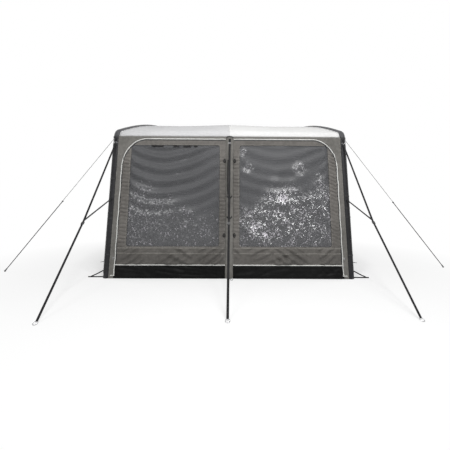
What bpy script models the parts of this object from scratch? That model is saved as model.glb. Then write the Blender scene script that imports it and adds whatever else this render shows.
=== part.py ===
"""An inflatable caravan awning: three air beams, a roof, zip-out front panels, side doors and storm straps.

The awning stands on the ground in front of a caravan. +X is to the right, seen from the front,
+Y points to the caravan and +Z is up. The origin is on the ground in the middle of the footprint.
"""

from math import atan2, cos, pi, radians, sin, tan

import bmesh
import bpy
from mathutils import Matrix, Vector

# Overall sizes, in metres
DEPTH = 2.52  # front of the piping to the side of the caravan
LEG_WIDTH = 3.21  # between the outer beams' centre lines on the ground
EAVE_WIDTH = 3.10  # between them at the eave and along the roof
EAVE_HEIGHT = 1.93  # of the beams' elbow
EAVE_SETBACK = 0.194  # how far the elbow stands behind the feet
ROOF_RISE = 0.51  # from the elbow to the beams' ends at the rail
ROOF_CROWN = 0.055  # how far the roof arches above a straight line

# Clearances
SEAT = 0.0004  # between pieces that lie on or beside one another
LEAF_GAP = 0.0006  # round a panel or door that opens
HINGE_GAP = 0.0026  # along the side that it turns about
GROUND_GAP = 0.004  # under fabric that doesn't carry the awning
OVERRUN = 0.05  # how far a tube or a cutter runs past its cut
SNAP = 0.00001  # points nearer than this are one

# Air beams
BEAM_RADIUS = 0.05
BEAM_RESOLUTION = 4
BEAM_SIDES = 12
SLEEVE_WALL = 0.0016
BLADDER_WALL = 0.0014
ELBOW_RADIUS = 0.09
ELBOW_STEPS = 6
ROOF_STEPS = 8
RAIL_GAP = 0.012  # from the roof's rear edge to the side of the caravan
BEAM_TRIM = 0.012  # how far a beam stops short of the roof's rear edge
VALVE_HEIGHT = 0.32
STEM_RADIUS = 0.011
STEM_BORE = 0.007
STEM_REACH = 0.011  # past the sleeve
CAP_WALL = 0.004
ROUND_SIDES = 24

# Cloth thicknesses
FABRIC = 0.002
CLEAR_SHEET = 0.001
BLIND_CLOTH = 0.0012

# Roof
SEAM_DROP = 0.045  # from the elbow down to the seam between roof and front wall
ROOF_CORNER = 0.10  # radius of the roof's front edge
ROOF_CORNER_STEPS = 5
ROOF_EDGE = radians(150)  # where the roof is sewn to the outer beams, round from their outer sides
ROOF_SAG = 0.012  # between two beams
ROOF_SPANS = 12
BEAD_RADIUS = 0.004

# Front wall, measured up its own slope
STRIP_COVER = 0.035  # how far a side strip stops short of a leg's centre line
PANEL_HINGE = 0.05  # from the middle of the wall to a panel's sewn side
PANEL_HEADER = 0.0265  # from the roof's seam down to a panel's top
PANEL_TOP_INSET = 0.08  # from a leg's centre line in to a panel's side, at the eave
PANEL_FOOT_INSET = 0.095  # the same on the ground
PANEL_CORNER_WIDTH = 0.34
PANEL_CORNER_HEIGHT = 0.42
PANEL_CORNER_STEPS = 9
BAND_TOP = 0.176
WINDOW_INNER = 0.135
WINDOW_TOP_INSET = 0.137  # from a panel's side in to the window's top corner
WINDOW_FOOT_INSET = 0.153
WINDOW_FOOT = 0.415
WINDOW_HEADER = 0.096  # from a panel's top down to the window
WINDOW_CORNER = 0.03
WINDOW_LAP = 0.012
CORNER_STEPS = 3
PIPING_WIDTH = 0.018
PIPING_THICKNESS = 0.005
PIPING_FOOT = 0.03  # above the ground
PIPING_TOE = 0.04  # how far the piping's foot turns out

# Blinds
BLIND_LAP = 0.02  # past the window at each side
BLIND_RISE = 0.03  # above the window
BLIND_DROP = 0.02  # below it
BLIND_SETBACK = 0.02
BLIND_FOLD = 0.0085  # half the depth of a swag
BLIND_FOLDS = 9
BLIND_SAG = 0.11  # how far a swag hangs in its middle
BLIND_COLUMNS = 10
BLIND_ROWS = 45
BLIND_HEM_SHARE = 0.02

# Side walls, measured from the feet towards the caravan and up the wall's slope
DOOR_FRONT = 0.85
DOOR_BACK = 1.72
DOOR_FOOT = 0.20
DOOR_HEADER = 0.07  # from the elbow's height down to the door's top
DOOR_CORNER = 0.22
DOOR_CORNER_STEPS = 6
DOOR_MARGIN = 0.13
DOOR_WINDOW_FOOT = 0.78
DOOR_WINDOW_DROP = 0.20  # from the door's top down to its window's top
DOOR_WINDOW_CORNER = 0.05
PAD_WIDTH = 0.11
PAD_THICKNESS = 0.035
PAD_ROUND = 0.008
PAD_TOP_GAP = 0.004

# Storm straps. A route holds the join with the brace strap, then the ground ring, each as the place
# across the awning, the distance in front of the feet and, for the join, the height.
STORM_ROUTES = {
    -1: ((-1.62, 0.57, 0.82), (-1.68, 1.26)),
    0: ((0.0, 0.53, 0.82), (0.0, 1.21)),
    1: ((1.655, 0.485, 0.83), (1.77, 1.18)),
}
WEBBING_WIDTH = 0.025
WEBBING = 0.002
D_RING_DROP = 0.085  # below the roof's seam
D_RING_RADIUS = 0.017
D_RING_WIRE = 0.0022
D_RING_STEPS = 12
BRACE_TOP = 1.03
BRACE_GAP = 0.0044  # from the strap's middle to the brace's end
RING_RADIUS = 0.0205
RING_WIRE = 0.0028
RING_BAR = 0.014  # half of the straight bar that the strap holds
RING_STEPS = 20
RING_TILT = radians(24)
WIRE_RESOLUTION = 2
BUCKLE_WIDTH = 0.036
BUCKLE_LENGTH = 0.034
BUCKLE_THICKNESS = 0.008
BUCKLE_PLAY = 0.0005
BUCKLE_ROUND = 0.0015
BUCKLE_DROP = 0.035  # below the join

# Guylines, with their pegs' places out from the middle and behind the feet
LINE_ENDS = {-1: (3.12, 0.22), 1: (3.21, 0.49)}
LINE_RADIUS = 0.0025
LINE_DROP = 0.027  # below the roof's seam
LINE_START = 0.0026  # past the sleeve
LINE_FOLD = 0.0065  # radius of the turn at the hook
LINE_FOLD_STEPS = 8
LINE_TAIL = 0.004  # past the runner
RUNNER_SHARE = 0.52  # of the line, from its hook
RUNNER_HEIGHT = 0.010
RUNNER_WIDTH = 0.014
RUNNER_REACH = 0.009  # from the runner's middle to the centre of its round end
RUNNER_PLAY = 0.0005
HOOK_LENGTH = 0.052
HOOK_WIDTH = 0.024
HOOK_NECK = 0.014
HOOK_NECK_RISE = 0.018  # from the peg's hole to where the neck starts
HOOK_THICKNESS = 0.006
HOOK_HOLE = 0.0062
HOOK_BAR = 0.0008  # past the middle of the line's turn
ARC_STEPS = 12

# Pegging straps
PEG_STRAP_RISE = 0.085
PEG_STRAP_REACH = 0.165
PEG_STRAP_WIDTH = 0.015
PEG_STRAP = 0.003
PEG_TAB = 0.034
CENTRE_PEG_REACH = 0.17

# Zip sliders
SLIDER_LENGTH = 0.018
SLIDER_WIDTH = 0.012
SLIDER_THICKNESS = 0.004
PULLER_LENGTH = 0.02
PULLER_WIDTH = 0.006
PULLER_HOLE = 0.0018
SLIDER_HEIGHT = 0.26

# Angles and places that follow from the sizes above
LEAN = atan2(EAVE_SETBACK, EAVE_HEIGHT)
FLARE = atan2((LEG_WIDTH - EAVE_WIDTH) / 2, EAVE_HEIGHT)
SKIN = BEAM_RADIUS + SEAT  # from a beam's centre line to the fabric on it
PIPING_LEVEL = FABRIC + SEAT
PIPING_FRONT = (PIPING_LEVEL + PIPING_THICKNESS) * cos(LEAN) - PIPING_FOOT * sin(LEAN)
FEET = -DEPTH / 2 + SKIN / cos(LEAN) + PIPING_FRONT
BACK = DEPTH / 2
ROOF_END = BACK - RAIL_GAP
BEAM_END = ROOF_END - BEAM_TRIM
PEG_EYE = HOOK_WIDTH / 2 + SEAT  # height of a hook's hole over the ground
BLADDER_RADIUS = BEAM_RADIUS - (SLEEVE_WALL + SEAT) / cos(pi / BEAM_SIDES)
ROOF_SEAM = EAVE_HEIGHT - SEAM_DROP
PANEL_TOP = ROOF_SEAM / cos(LEAN) - PANEL_HEADER
PANEL_TOP_REACH = EAVE_WIDTH / 2 - PANEL_TOP_INSET
PANEL_FOOT_REACH = LEG_WIDTH / 2 - PANEL_FOOT_INSET
WINDOW_TOP = PANEL_TOP - WINDOW_HEADER
WINDOW_OUTER_TOP = PANEL_TOP_REACH - WINDOW_TOP_INSET
WINDOW_OUTER_FOOT = PANEL_FOOT_REACH - WINDOW_FOOT_INSET
D_RING_HEIGHT = ROOF_SEAM - D_RING_DROP
RING_RISE = (RING_RADIUS**2 - RING_BAR**2) ** (1 / 2)
LINE_TOP = ROOF_SEAM - LINE_DROP
DOOR_TOP = EAVE_HEIGHT - DOOR_HEADER
DOOR_WINDOW_TOP = DOOR_TOP - DOOR_WINDOW_DROP
SIDES = {"left": -1, "right": 1}
BEAMS = {"left": -1, "centre": 0, "right": 1}

part = bpy.data.collections.new("caravan_awning")
cutters = bpy.data.collections.new("cutters")


def material(name, colour, roughness, metallic=0.0, alpha=1.0):
    """A Principled material."""
    made = bpy.data.materials.new(name)
    made.use_nodes = True
    shader = made.node_tree.nodes["Principled BSDF"]
    shader.inputs["Base Color"].default_value = (*colour, 1)
    shader.inputs["Roughness"].default_value = roughness
    shader.inputs["Metallic"].default_value = metallic
    shader.inputs["Alpha"].default_value = alpha
    return made


def place(obj, finish, parent=None):
    """Puts an object among the part's pieces."""
    part.objects.link(obj)
    obj.data.materials.append(finish)
    obj.parent = parent
    return obj


def guide(name, origin, across, up, parent=None):
    """An empty whose X and Y axes run along a wall, or across and along a strap."""
    across = Vector(across).normalized()
    up = Vector(up).normalized()
    axes = Matrix((across, up, across.cross(up))).transposed().to_4x4()
    empty = bpy.data.objects.new(name, None)
    empty.matrix_basis = Matrix.Translation(origin) @ axes
    empty.parent = parent
    part.objects.link(empty)
    return empty


def cutter(obj):
    """Keeps an object as a cutter for a Boolean modifier."""
    cutters.objects.link(obj)
    obj.hide_render = True
    obj.display_type = "WIRE"
    return obj


def boolean(obj, tool, operation):
    modifier = obj.modifiers.new(tool.name, "BOOLEAN")
    modifier.operation = operation
    modifier.object = tool
    modifier.solver = "EXACT"


def solidify(obj, thickness, offset):
    modifier = obj.modifiers.new("wall", "SOLIDIFY")
    modifier.thickness = thickness
    modifier.offset = offset
    modifier.use_even_offset = True


def bevel(obj, width, segments=2):
    modifier = obj.modifiers.new("edges", "BEVEL")
    modifier.width = width
    modifier.segments = segments


def tube(name, points, radius, resolution, caps=True):
    """A round tube along a list of points."""
    data = bpy.data.curves.new(name, "CURVE")
    data.dimensions = "3D"
    data.bevel_depth = radius
    data.bevel_resolution = resolution
    data.use_fill_caps = caps
    spline = data.splines.new("POLY")
    spline.points.add(len(points) - 1)
    for spot, point in zip(spline.points, points):
        spot.co = (*point, 1)
    return bpy.data.objects.new(name, data)


def flat(name, outlines, thickness, level=0.0, shift=(0.0, 0.0)):
    """A flat piece cut to one outline, with any others as holes, whose back face is at level."""
    data = bpy.data.curves.new(name, "CURVE")
    data.dimensions = "2D"
    data.fill_mode = "BOTH"
    data.extrude = thickness / 2
    for outline in outlines:
        spline = data.splines.new("POLY")
        spline.use_cyclic_u = True
        spline.points.add(len(outline) - 1)
        for spot, (across, up) in zip(spline.points, outline):
            spot.co = (across, up, 0, 1)
    obj = bpy.data.objects.new(name, data)
    obj.location = (shift[0], shift[1], level + thickness / 2)
    return obj


def cloth(name, columns, rows, spot, thickness, offset):
    """A sheet of cloth over a grid, whose point in a column and a row is spot(column, row)."""
    shape = bmesh.new()
    bmesh.ops.create_grid(shape, x_segments=columns, y_segments=rows, size=1)
    for vertex in shape.verts:
        column = round((vertex.co.x + 1) / 2 * columns)
        row = round((vertex.co.y + 1) / 2 * rows)
        vertex.co = spot(column, row)
    mesh = bpy.data.meshes.new(name)
    shape.to_mesh(mesh)
    shape.free()
    obj = bpy.data.objects.new(name, mesh)
    solidify(obj, thickness, offset)
    return obj


def box(name, size, centre=(0, 0, 0)):
    """A box with its edges along its own axes."""
    shape = bmesh.new()
    bmesh.ops.create_cube(shape, size=1)
    bmesh.ops.scale(shape, vec=size, verts=shape.verts)
    bmesh.ops.translate(shape, vec=centre, verts=shape.verts)
    mesh = bpy.data.meshes.new(name)
    shape.to_mesh(mesh)
    shape.free()
    return bpy.data.objects.new(name, mesh)


def rod(name, start, end, radius, sides=ROUND_SIDES):
    """A round bar from one point to another."""
    length = (end - start).length
    shape = bmesh.new()
    bmesh.ops.create_cone(shape, cap_ends=True, segments=sides, radius1=radius, radius2=radius, depth=length)
    mesh = bpy.data.meshes.new(name)
    shape.to_mesh(mesh)
    shape.free()
    obj = bpy.data.objects.new(name, mesh)
    turn = (end - start).to_track_quat("Z", "Y").to_matrix().to_4x4()
    obj.matrix_basis = Matrix.Translation((start + end) / 2) @ turn
    return obj


def as_mesh(obj):
    """The mesh of a curve object, which is removed."""
    bpy.context.scene.collection.objects.link(obj)
    bpy.context.view_layer.update()
    evaluated = obj.evaluated_get(bpy.context.evaluated_depsgraph_get())
    mesh = bpy.data.meshes.new_from_object(evaluated)
    bpy.data.objects.remove(obj)
    return mesh


def sideways(line, distance):
    """A line in a plane, moved to its left, with mitred corners."""
    moved = []
    for index, point in enumerate(line):
        steps = [line[index] - line[index - 1]] if index else []
        steps += [line[index + 1] - line[index]] if index + 1 < len(line) else []
        normals = [Vector((-step.y, step.x)).normalized() for step in steps]
        middle = sum(normals, Vector((0, 0))).normalized()
        moved.append(point + middle * distance / middle.dot(normals[0]))
    return moved


def rounded(line, index, radius, steps):
    """A line in a plane, with one of its corners replaced by an arc."""
    corner = line[index]
    before = (corner - line[index - 1]).normalized()
    after = (line[index + 1] - corner).normalized()
    turn = before.angle_signed(after)
    start = corner - before * radius * tan(abs(turn) / 2)
    left = Vector((-before.y, before.x))
    centre = start - left * radius if turn > 0 else start + left * radius
    arc = []
    for step in range(steps + 1):
        swing = Matrix.Rotation(-turn * step / steps, 2)
        arc.append(centre + swing @ (start - centre))
    return line[:index] + arc + line[index + 1 :]


def rounded_outline(corners, radius, steps):
    """A closed outline whose corners are all arcs."""
    outline = []
    for index, corner in enumerate(corners):
        before = Vector(corners[index - 1])
        after = Vector(corners[(index + 1) % len(corners)])
        arc = rounded([before, Vector(corner), after], 1, radius, steps)
        outline += [tuple(point) for point in arc[1:-1]]
    return outline


def mirrored(outline, side):
    return [(side * across, up) for across, up in outline]


def bare_line():
    """A beam's centre line in (y, z) with a sharp elbow: foot, elbow and the roof's crowned run."""
    elbow = Vector((FEET + EAVE_SETBACK, EAVE_HEIGHT))
    line = [Vector((FEET, 0)), elbow]
    for step in range(1, ROOF_STEPS + 1):
        share = step / ROOF_STEPS
        rise = ROOF_RISE * share + 4 * ROOF_CROWN * share * (1 - share)
        line.append(elbow + Vector(((ROOF_END - elbow.x) * share, rise)))
    return line


def leg_reach(height):
    """How far an outer beam's centre line is from the middle of the awning."""
    return LEG_WIDTH / 2 - tan(FLARE) * min(height, EAVE_HEIGHT)


def leg_point(side, height):
    return Vector((side * leg_reach(height), FEET + tan(LEAN) * height, height))


def leg_direction(side):
    return (leg_point(side, EAVE_HEIGHT) - leg_point(side, 0)).normalized()


def front_point(side, height, level):
    """A point in front of a leg's centre line, level away from it along the front wall's normal."""
    return leg_point(side, height) + Vector((0, -cos(LEAN), sin(LEAN))) * level


def beam_shell(name, side, radius, foot, end, closed):
    """The skin of a beam from its foot to its end at the rail, flat at both."""
    line = rounded(bare_line(), 1, ELBOW_RADIUS, ELBOW_STEPS)
    line[0] += (line[0] - line[1]).normalized() * OVERRUN
    line[-1] += (line[-1] - line[-2]).normalized() * OVERRUN
    points = [(0, point.x, point.y) for point in line]
    mesh = as_mesh(tube(name, points, radius, BEAM_RESOLUTION, caps=False))
    shape = bmesh.new()
    shape.from_mesh(mesh)
    bmesh.ops.remove_doubles(shape, verts=shape.verts, dist=SNAP)
    for vertex in shape.verts:
        vertex.co.x += side * leg_reach(vertex.co.z)
    for spot, normal in (((0, 0, foot), (0, 0, -1)), ((0, end, 0), (0, 1, 0))):
        everything = [*shape.verts, *shape.edges, *shape.faces]
        bmesh.ops.bisect_plane(shape, geom=everything, plane_co=spot, plane_no=normal, clear_outer=True)
    rims = [edge for edge in shape.edges if edge.is_boundary]
    if not closed:
        rims = [edge for edge in rims if edge.verts[0].co.z < foot + SNAP]
    bmesh.ops.holes_fill(shape, edges=rims)
    bmesh.ops.recalc_face_normals(shape, faces=shape.faces)
    shape.to_mesh(mesh)
    shape.free()
    return bpy.data.objects.new(name, mesh)


def valve_axis(side):
    """Where a beam's valve leaves its centre line, and which way it points: in towards the room."""
    along = leg_direction(side)
    wish = Vector((-side, 0, 0)) if side else Vector((0, 1, 0))
    return leg_point(side, VALVE_HEIGHT), (wish - along * along.dot(wish)).normalized()


def air_beam(place_name, side):
    """One air beam: its sleeve, the bladder in it, and the cap on the bladder's valve."""
    spot, out = valve_axis(side)
    sleeve = beam_shell(f"beam_sleeve_{place_name}", side, BEAM_RADIUS, 0, BEAM_END, False)
    solidify(sleeve, SLEEVE_WALL, -1)
    hole = rod(f"valve_hole_{place_name}", spot, spot + out * (BEAM_RADIUS + OVERRUN), STEM_RADIUS + SEAT)
    boolean(sleeve, cutter(hole), "DIFFERENCE")
    place(sleeve, SLEEVE_BLACK)

    inset = SLEEVE_WALL + SEAT
    bladder = beam_shell(f"air_bladder_{place_name}", side, BLADDER_RADIUS, inset, BEAM_END - inset, True)
    solidify(bladder, BLADDER_WALL, -1)
    root = BLADDER_RADIUS * cos(pi / BEAM_SIDES) - BLADDER_WALL / 2
    tip = BEAM_RADIUS + STEM_REACH
    stem = rod(f"valve_stem_{place_name}", spot + out * root, spot + out * tip, STEM_RADIUS)
    bore = rod(f"valve_bore_{place_name}", spot, spot + out * (tip + OVERRUN), STEM_BORE)
    boolean(bladder, cutter(stem), "UNION")
    boolean(bladder, cutter(bore), "DIFFERENCE")
    place(bladder, BLADDER_CLEAR)

    axis = guide(f"valve_axis_{place_name}", spot, leg_direction(side).cross(out), leg_direction(side))
    place(valve_cap(f"valve_cap_{place_name}"), VALVE_BLACK, axis)


def valve_cap(name):
    """A screw cap over a valve stem, turned about its own Z axis."""
    inside = STEM_RADIUS + SEAT
    outside = inside + CAP_WALL
    rim = BEAM_RADIUS + SEAT
    floor = BEAM_RADIUS + STEM_REACH + SEAT
    profile = [(0, floor + CAP_WALL), (outside, floor + CAP_WALL), (outside, rim)]
    profile += [(inside, rim), (inside, floor), (0, floor)]
    mesh = bpy.data.meshes.new(name)
    edges = [(index, index + 1) for index in range(len(profile) - 1)]
    mesh.from_pydata([(reach, 0, height) for reach, height in profile], edges, [])
    cap = bpy.data.objects.new(name, mesh)
    turn = cap.modifiers.new("turned", "SCREW")
    turn.steps = ROUND_SIDES
    turn.render_steps = ROUND_SIDES
    turn.use_merge_vertices = True
    turn.merge_threshold = SNAP
    return cap


def roof_line():
    """The roof's own line in (y, z), from its front seam over the rounded eave to its rear edge."""
    line = rounded(sideways(bare_line(), SKIN), 1, ROOF_CORNER, ROOF_CORNER_STEPS)
    foot, start = line[:2]
    line[0] = foot.lerp(start, (ROOF_SEAM - foot.y) / (start.y - foot.y))
    return line


def roof():
    """One sheet over the centre beam, sewn to the outer beams' inner sides, and the bead behind it."""
    line = roof_line()
    edge = Vector((EAVE_WIDTH / 2 + SKIN * cos(ROOF_EDGE), SKIN * sin(ROOF_EDGE)))
    bend = ROOF_CORNER_STEPS + 1

    def spot(column, row):
        across = 2 * column / ROOF_SPANS - 1
        before = line[max(row - 1, 0)]
        after = line[min(row + 1, len(line) - 1)]
        along = (after - before).normalized()
        back = min(row / bend, 1)
        lower = (SKIN - edge.y) * abs(across) * back
        if row > bend:
            share = (row - bend) / (len(line) - 1 - bend)
            lower += ROOF_SAG * sin(pi * share) * sin(pi * across) ** 2
        point = line[row] - Vector((-along.y, along.x)) * lower
        return edge.x * across, point.x, point.y

    place(cloth("roof_canopy", ROOF_SPANS, len(line) - 1, spot, FABRIC, 1), ROOF_GREY)
    along = (line[-1] - line[-2]).normalized()
    normal = Vector((-along.y, along.x))
    centre = line[-1] + along * (BEAD_RADIUS + SEAT) + normal * FABRIC / 2
    ends = [(-edge.x, centre.x, centre.y), (edge.x, centre.x, centre.y)]
    place(tube("keder_bead", ends, BEAD_RADIUS, WIRE_RESOLUTION), BEAD_WHITE)


def panel_edge(inset, foot):
    """A front panel's outer side and top, from its foot up and in to the middle of the wall."""
    centre = (PANEL_TOP_REACH - PANEL_CORNER_WIDTH, PANEL_TOP - PANEL_CORNER_HEIGHT)
    outline = [(panel_side(foot) - inset, foot)]
    for step in range(PANEL_CORNER_STEPS + 1):
        angle = pi / 2 * step / PANEL_CORNER_STEPS
        across = centre[0] + (PANEL_CORNER_WIDTH - inset) * cos(angle)
        outline.append((across, centre[1] + (PANEL_CORNER_HEIGHT - inset) * sin(angle)))
    return outline


def panel_side(height):
    """How far a front panel's outer side is from the middle of the wall."""
    share = height / (PANEL_TOP - PANEL_CORNER_HEIGHT)
    return PANEL_FOOT_REACH + (PANEL_TOP_REACH - PANEL_FOOT_REACH) * share


def strip_side(height):
    return leg_reach(height) - STRIP_COVER


def front_surround(wall):
    """Header, side strips and centre strip in one cloth, open where the two panels are."""
    seam = (ROOF_SEAM - SEAT) / cos(LEAN)
    half = [(strip_side(seam), seam), (strip_side(GROUND_GAP), GROUND_GAP)]
    half += panel_edge(0, GROUND_GAP) + [(PANEL_HINGE, PANEL_TOP), (PANEL_HINGE, GROUND_GAP)]
    outline = half + list(reversed(mirrored(half, -1)))
    place(flat("front_surround", [outline], FABRIC), WALL_TAUPE, wall)


def window_outline(grow):
    corners = [
        (WINDOW_INNER - grow, WINDOW_FOOT - grow),
        (WINDOW_OUTER_FOOT + grow, WINDOW_FOOT - grow),
        (WINDOW_OUTER_TOP + grow, WINDOW_TOP + grow),
        (WINDOW_INNER - grow, WINDOW_TOP + grow),
    ]
    return rounded_outline(corners, WINDOW_CORNER + grow, CORNER_STEPS)


def front_panel(place_name, side, wall):
    """A zip-out front panel with its window, piping, mud band and blind, on its sewn side."""
    spot = (side * PANEL_HINGE, 0, FABRIC)
    hinge = guide(f"front_panel_hinge_{place_name}", spot, (1, 0, 0), (0, 1, 0), wall)
    shift = (-side * PANEL_HINGE, 0.0)
    inner = PANEL_HINGE + HINGE_GAP

    cloth_edge = panel_edge(LEAF_GAP, BAND_TOP + SEAT)
    cloth_edge += [(inner, PANEL_TOP - LEAF_GAP), (inner, BAND_TOP + SEAT)]
    outlines = [mirrored(cloth_edge, side), mirrored(window_outline(0), side)]
    place(flat(f"front_panel_{place_name}", outlines, FABRIC, -FABRIC, shift), WALL_TAUPE, hinge)

    pane = [mirrored(window_outline(WINDOW_LAP), side)]
    level = -FABRIC - SEAT - CLEAR_SHEET
    place(flat(f"front_window_{place_name}", pane, CLEAR_SHEET, level, shift), WINDOW_CLEAR, hinge)

    band = [(inner, GROUND_GAP), (panel_side(GROUND_GAP) - LEAF_GAP, GROUND_GAP)]
    band += [(panel_side(BAND_TOP) - LEAF_GAP, BAND_TOP), (inner, BAND_TOP)]
    band = [mirrored(band, side)]
    place(flat(f"front_mud_band_{place_name}", band, FABRIC, -FABRIC, shift), BAND_BLACK, hinge)

    binding = [mirrored(piping_outline(inner), side)]
    place(flat(f"piping_{place_name}", binding, PIPING_THICKNESS, SEAT, shift), PIPING_PALE, hinge)
    place(blind(f"window_blind_{place_name}", side, shift), BLIND_GREY, hinge)


def piping_outline(inner):
    """The binding over a panel's zip: its top, its outer side with a toe, and a bar over the mud band."""
    outer = panel_edge(LEAF_GAP, PIPING_FOOT)
    bar = BAND_TOP + PIPING_WIDTH / 2
    toe = (panel_side(PIPING_FOOT) + PIPING_TOE, PIPING_FOOT)
    outline = [(inner, PANEL_TOP - LEAF_GAP), *reversed(outer[1:])]
    outline += [(panel_side(PIPING_FOOT + PIPING_WIDTH) - LEAF_GAP, PIPING_FOOT + PIPING_WIDTH)]
    outline += [(toe[0], toe[1] + PIPING_WIDTH), toe]
    outline += [(panel_side(PIPING_FOOT) - LEAF_GAP - PIPING_WIDTH, PIPING_FOOT)]
    for height in (bar - PIPING_WIDTH, bar):
        corner = (panel_side(height) - LEAF_GAP - PIPING_WIDTH, height)
        outline += [corner, (inner, height)] if height < bar else [(inner, height), corner]
    inside = panel_edge(LEAF_GAP + PIPING_WIDTH, PIPING_FOOT)[1:]
    outline += inside + [(inner, PANEL_TOP - LEAF_GAP - PIPING_WIDTH)]
    return outline


def blind(name, side, shift):
    """Dark cloth behind a window, gathered in shallow swags that hang lowest in their middle."""
    low = WINDOW_FOOT - BLIND_DROP
    tall = WINDOW_TOP + BLIND_RISE - low
    left = WINDOW_INNER - BLIND_LAP

    def spot(column, row):
        share = row / BLIND_ROWS
        width = WINDOW_OUTER_FOOT + BLIND_LAP - left
        across = left + width * column / BLIND_COLUMNS
        hang = BLIND_SAG * (1 - (2 * column / BLIND_COLUMNS - 1) ** 2)
        wave = sin(2 * pi * BLIND_FOLDS * (share + hang / tall))
        slack = sin(pi * min(share / (1 - BLIND_HEM_SHARE), 1))
        level = -BLIND_SETBACK + BLIND_FOLD * wave * min(3 * slack, 1)
        if row == BLIND_ROWS:
            level = -FABRIC - SEAT - BLIND_CLOTH / 2
        return side * across + shift[0], low + tall * share, level

    obj = cloth(name, BLIND_COLUMNS, BLIND_ROWS, spot, BLIND_CLOTH, 0)
    if side < 0:
        obj.data.flip_normals()
    return obj


def zip_slider(place_name, side, wall):
    """A slider and its puller on the strip just outside a panel's zip."""
    across = panel_side(SLIDER_HEIGHT) + LEAF_GAP + SLIDER_WIDTH
    slope = (PANEL_TOP_REACH - PANEL_FOOT_REACH) / (PANEL_TOP - PANEL_CORNER_HEIGHT)
    spot = (side * across, SLIDER_HEIGHT, FABRIC + SEAT)
    runner = guide(f"zip_run_{place_name}", spot, (1, -side * slope, 0), (side * slope, 1, 0), wall)
    half = SLIDER_WIDTH / 2
    pull = PULLER_WIDTH / 2
    outline = [(pull, -PULLER_LENGTH), (pull, 0), (half, 0), (half, SLIDER_LENGTH * 2 / 3)]
    outline += [(pull, SLIDER_LENGTH)]
    outline += list(reversed(mirrored(outline, -1)))
    hole = [(PULLER_HOLE * cos(2 * pi * step / 8), PULLER_HOLE * sin(2 * pi * step / 8)) for step in range(8)]
    hole = [(across, up - PULLER_LENGTH + pull) for across, up in hole]
    place(flat(f"zip_slider_{place_name}", [outline, hole], SLIDER_THICKNESS), ZIP_METAL, runner)


def side_wall_outline():
    """A side wall round its edge, in (distance behind the feet, height up the slope)."""
    under = rounded(bare_line(), 1, ELBOW_RADIUS, ELBOW_STEPS)
    under = sideways(under, -SKIN)
    back = BACK - PAD_THICKNESS - SEAT
    foot = BAND_TOP + SEAT
    front = [point for point in under if point.x < back]
    low = front[0] + (front[1] - front[0]) * (foot - front[0].y) / (front[1].y - front[0].y)
    last = front[-1] + (under[-1] - front[-1]) * (back - front[-1].x) / (under[-1].x - front[-1].x)
    line = [low, *front[1:], last, Vector((back, foot))]
    return [(point.x - FEET, point.y / cos(FLARE)) for point in line], low.x - FEET


def door_outline(grow, far):
    """A door or its doorway, square at the foot and rounded at the top, out to a far side."""
    corners = [(DOOR_FRONT - grow, DOOR_FOOT - grow), (far, DOOR_FOOT - grow)]
    corners += [(far, DOOR_TOP + grow), (DOOR_FRONT - grow, DOOR_TOP + grow)]
    arcs = rounded_outline(corners, DOOR_CORNER + grow, DOOR_CORNER_STEPS)
    return corners[:2] + arcs[2 * (DOOR_CORNER_STEPS - 1) :]


def door_window_outline(grow):
    near = DOOR_FRONT + DOOR_MARGIN - grow
    far = DOOR_BACK - DOOR_MARGIN + grow
    low = DOOR_WINDOW_FOOT - grow
    high = DOOR_WINDOW_TOP + grow
    corners = [(near, low), (far, low), (far, high), (near, high)]
    return rounded_outline(corners, DOOR_WINDOW_CORNER + grow, CORNER_STEPS)


def side_of_awning(place_name, side):
    """A side wall with its mud band, its door on a hinge, and the foam pad against the caravan."""
    up = (-side * sin(FLARE), 0, cos(FLARE))
    wall = guide(f"side_wall_plane_{place_name}", (side * LEG_WIDTH / 2, FEET, 0), (0, side, 0), up)
    outline, low = side_wall_outline()
    outlines = [mirrored(outline, side), mirrored(door_outline(LEAF_GAP, DOOR_BACK), side)]
    place(flat(f"side_wall_{place_name}", outlines, FABRIC, -FABRIC / 2), WALL_TAUPE, wall)

    far = BACK - PAD_THICKNESS - SEAT - FEET
    near = low - tan(LEAN) * (BAND_TOP + SEAT)
    band = [(near, GROUND_GAP), (far, GROUND_GAP), (far, BAND_TOP), (low, BAND_TOP)]
    place(flat(f"side_mud_band_{place_name}", [mirrored(band, side)], FABRIC, -FABRIC / 2), BAND_BLACK, wall)

    spot = (side * DOOR_BACK, 0, FABRIC / 2)
    hinge = guide(f"side_door_hinge_{place_name}", spot, (1, 0, 0), (0, 1, 0), wall)
    shift = (-side * DOOR_BACK, 0.0)
    outlines = [mirrored(door_outline(0, DOOR_BACK - HINGE_GAP), side)]
    outlines.append(mirrored(door_window_outline(0), side))
    place(flat(f"side_door_{place_name}", outlines, FABRIC, -FABRIC, shift), WALL_TAUPE, hinge)
    pane = [mirrored(door_window_outline(WINDOW_LAP), side)]
    level = -FABRIC - SEAT - CLEAR_SHEET
    place(flat(f"door_window_{place_name}", pane, CLEAR_SHEET, level, shift), WINDOW_CLEAR, hinge)

    top = bare_line()[-1].y - BEAM_RADIUS - PAD_TOP_GAP
    reach = side * (leg_reach(0) + leg_reach(EAVE_HEIGHT)) / 2
    middle = (reach, BACK - PAD_THICKNESS / 2, top / 2)
    pad = box(f"rear_pad_{place_name}", (PAD_WIDTH, PAD_THICKNESS, top), middle)
    bevel(pad, PAD_ROUND)
    place(pad, PAD_GREY)


def ribbon(name, points, width, thickness):
    """A flat strap along a line of points, as wide as it can be across the awning."""
    points = [Vector(point) for point in points]

    def spot(column, row):
        before = points[max(row - 1, 0)]
        after = points[min(row + 1, len(points) - 1)]
        return points[row] + strap_across(after - before) * width * (column - 1 / 2)

    return cloth(name, 1, len(points) - 1, spot, thickness, 0)


def strap_across(along):
    """The way across a strap that runs along a direction: level and square to it."""
    return along.cross(Vector((0, 0, 1))).normalized()


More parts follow.
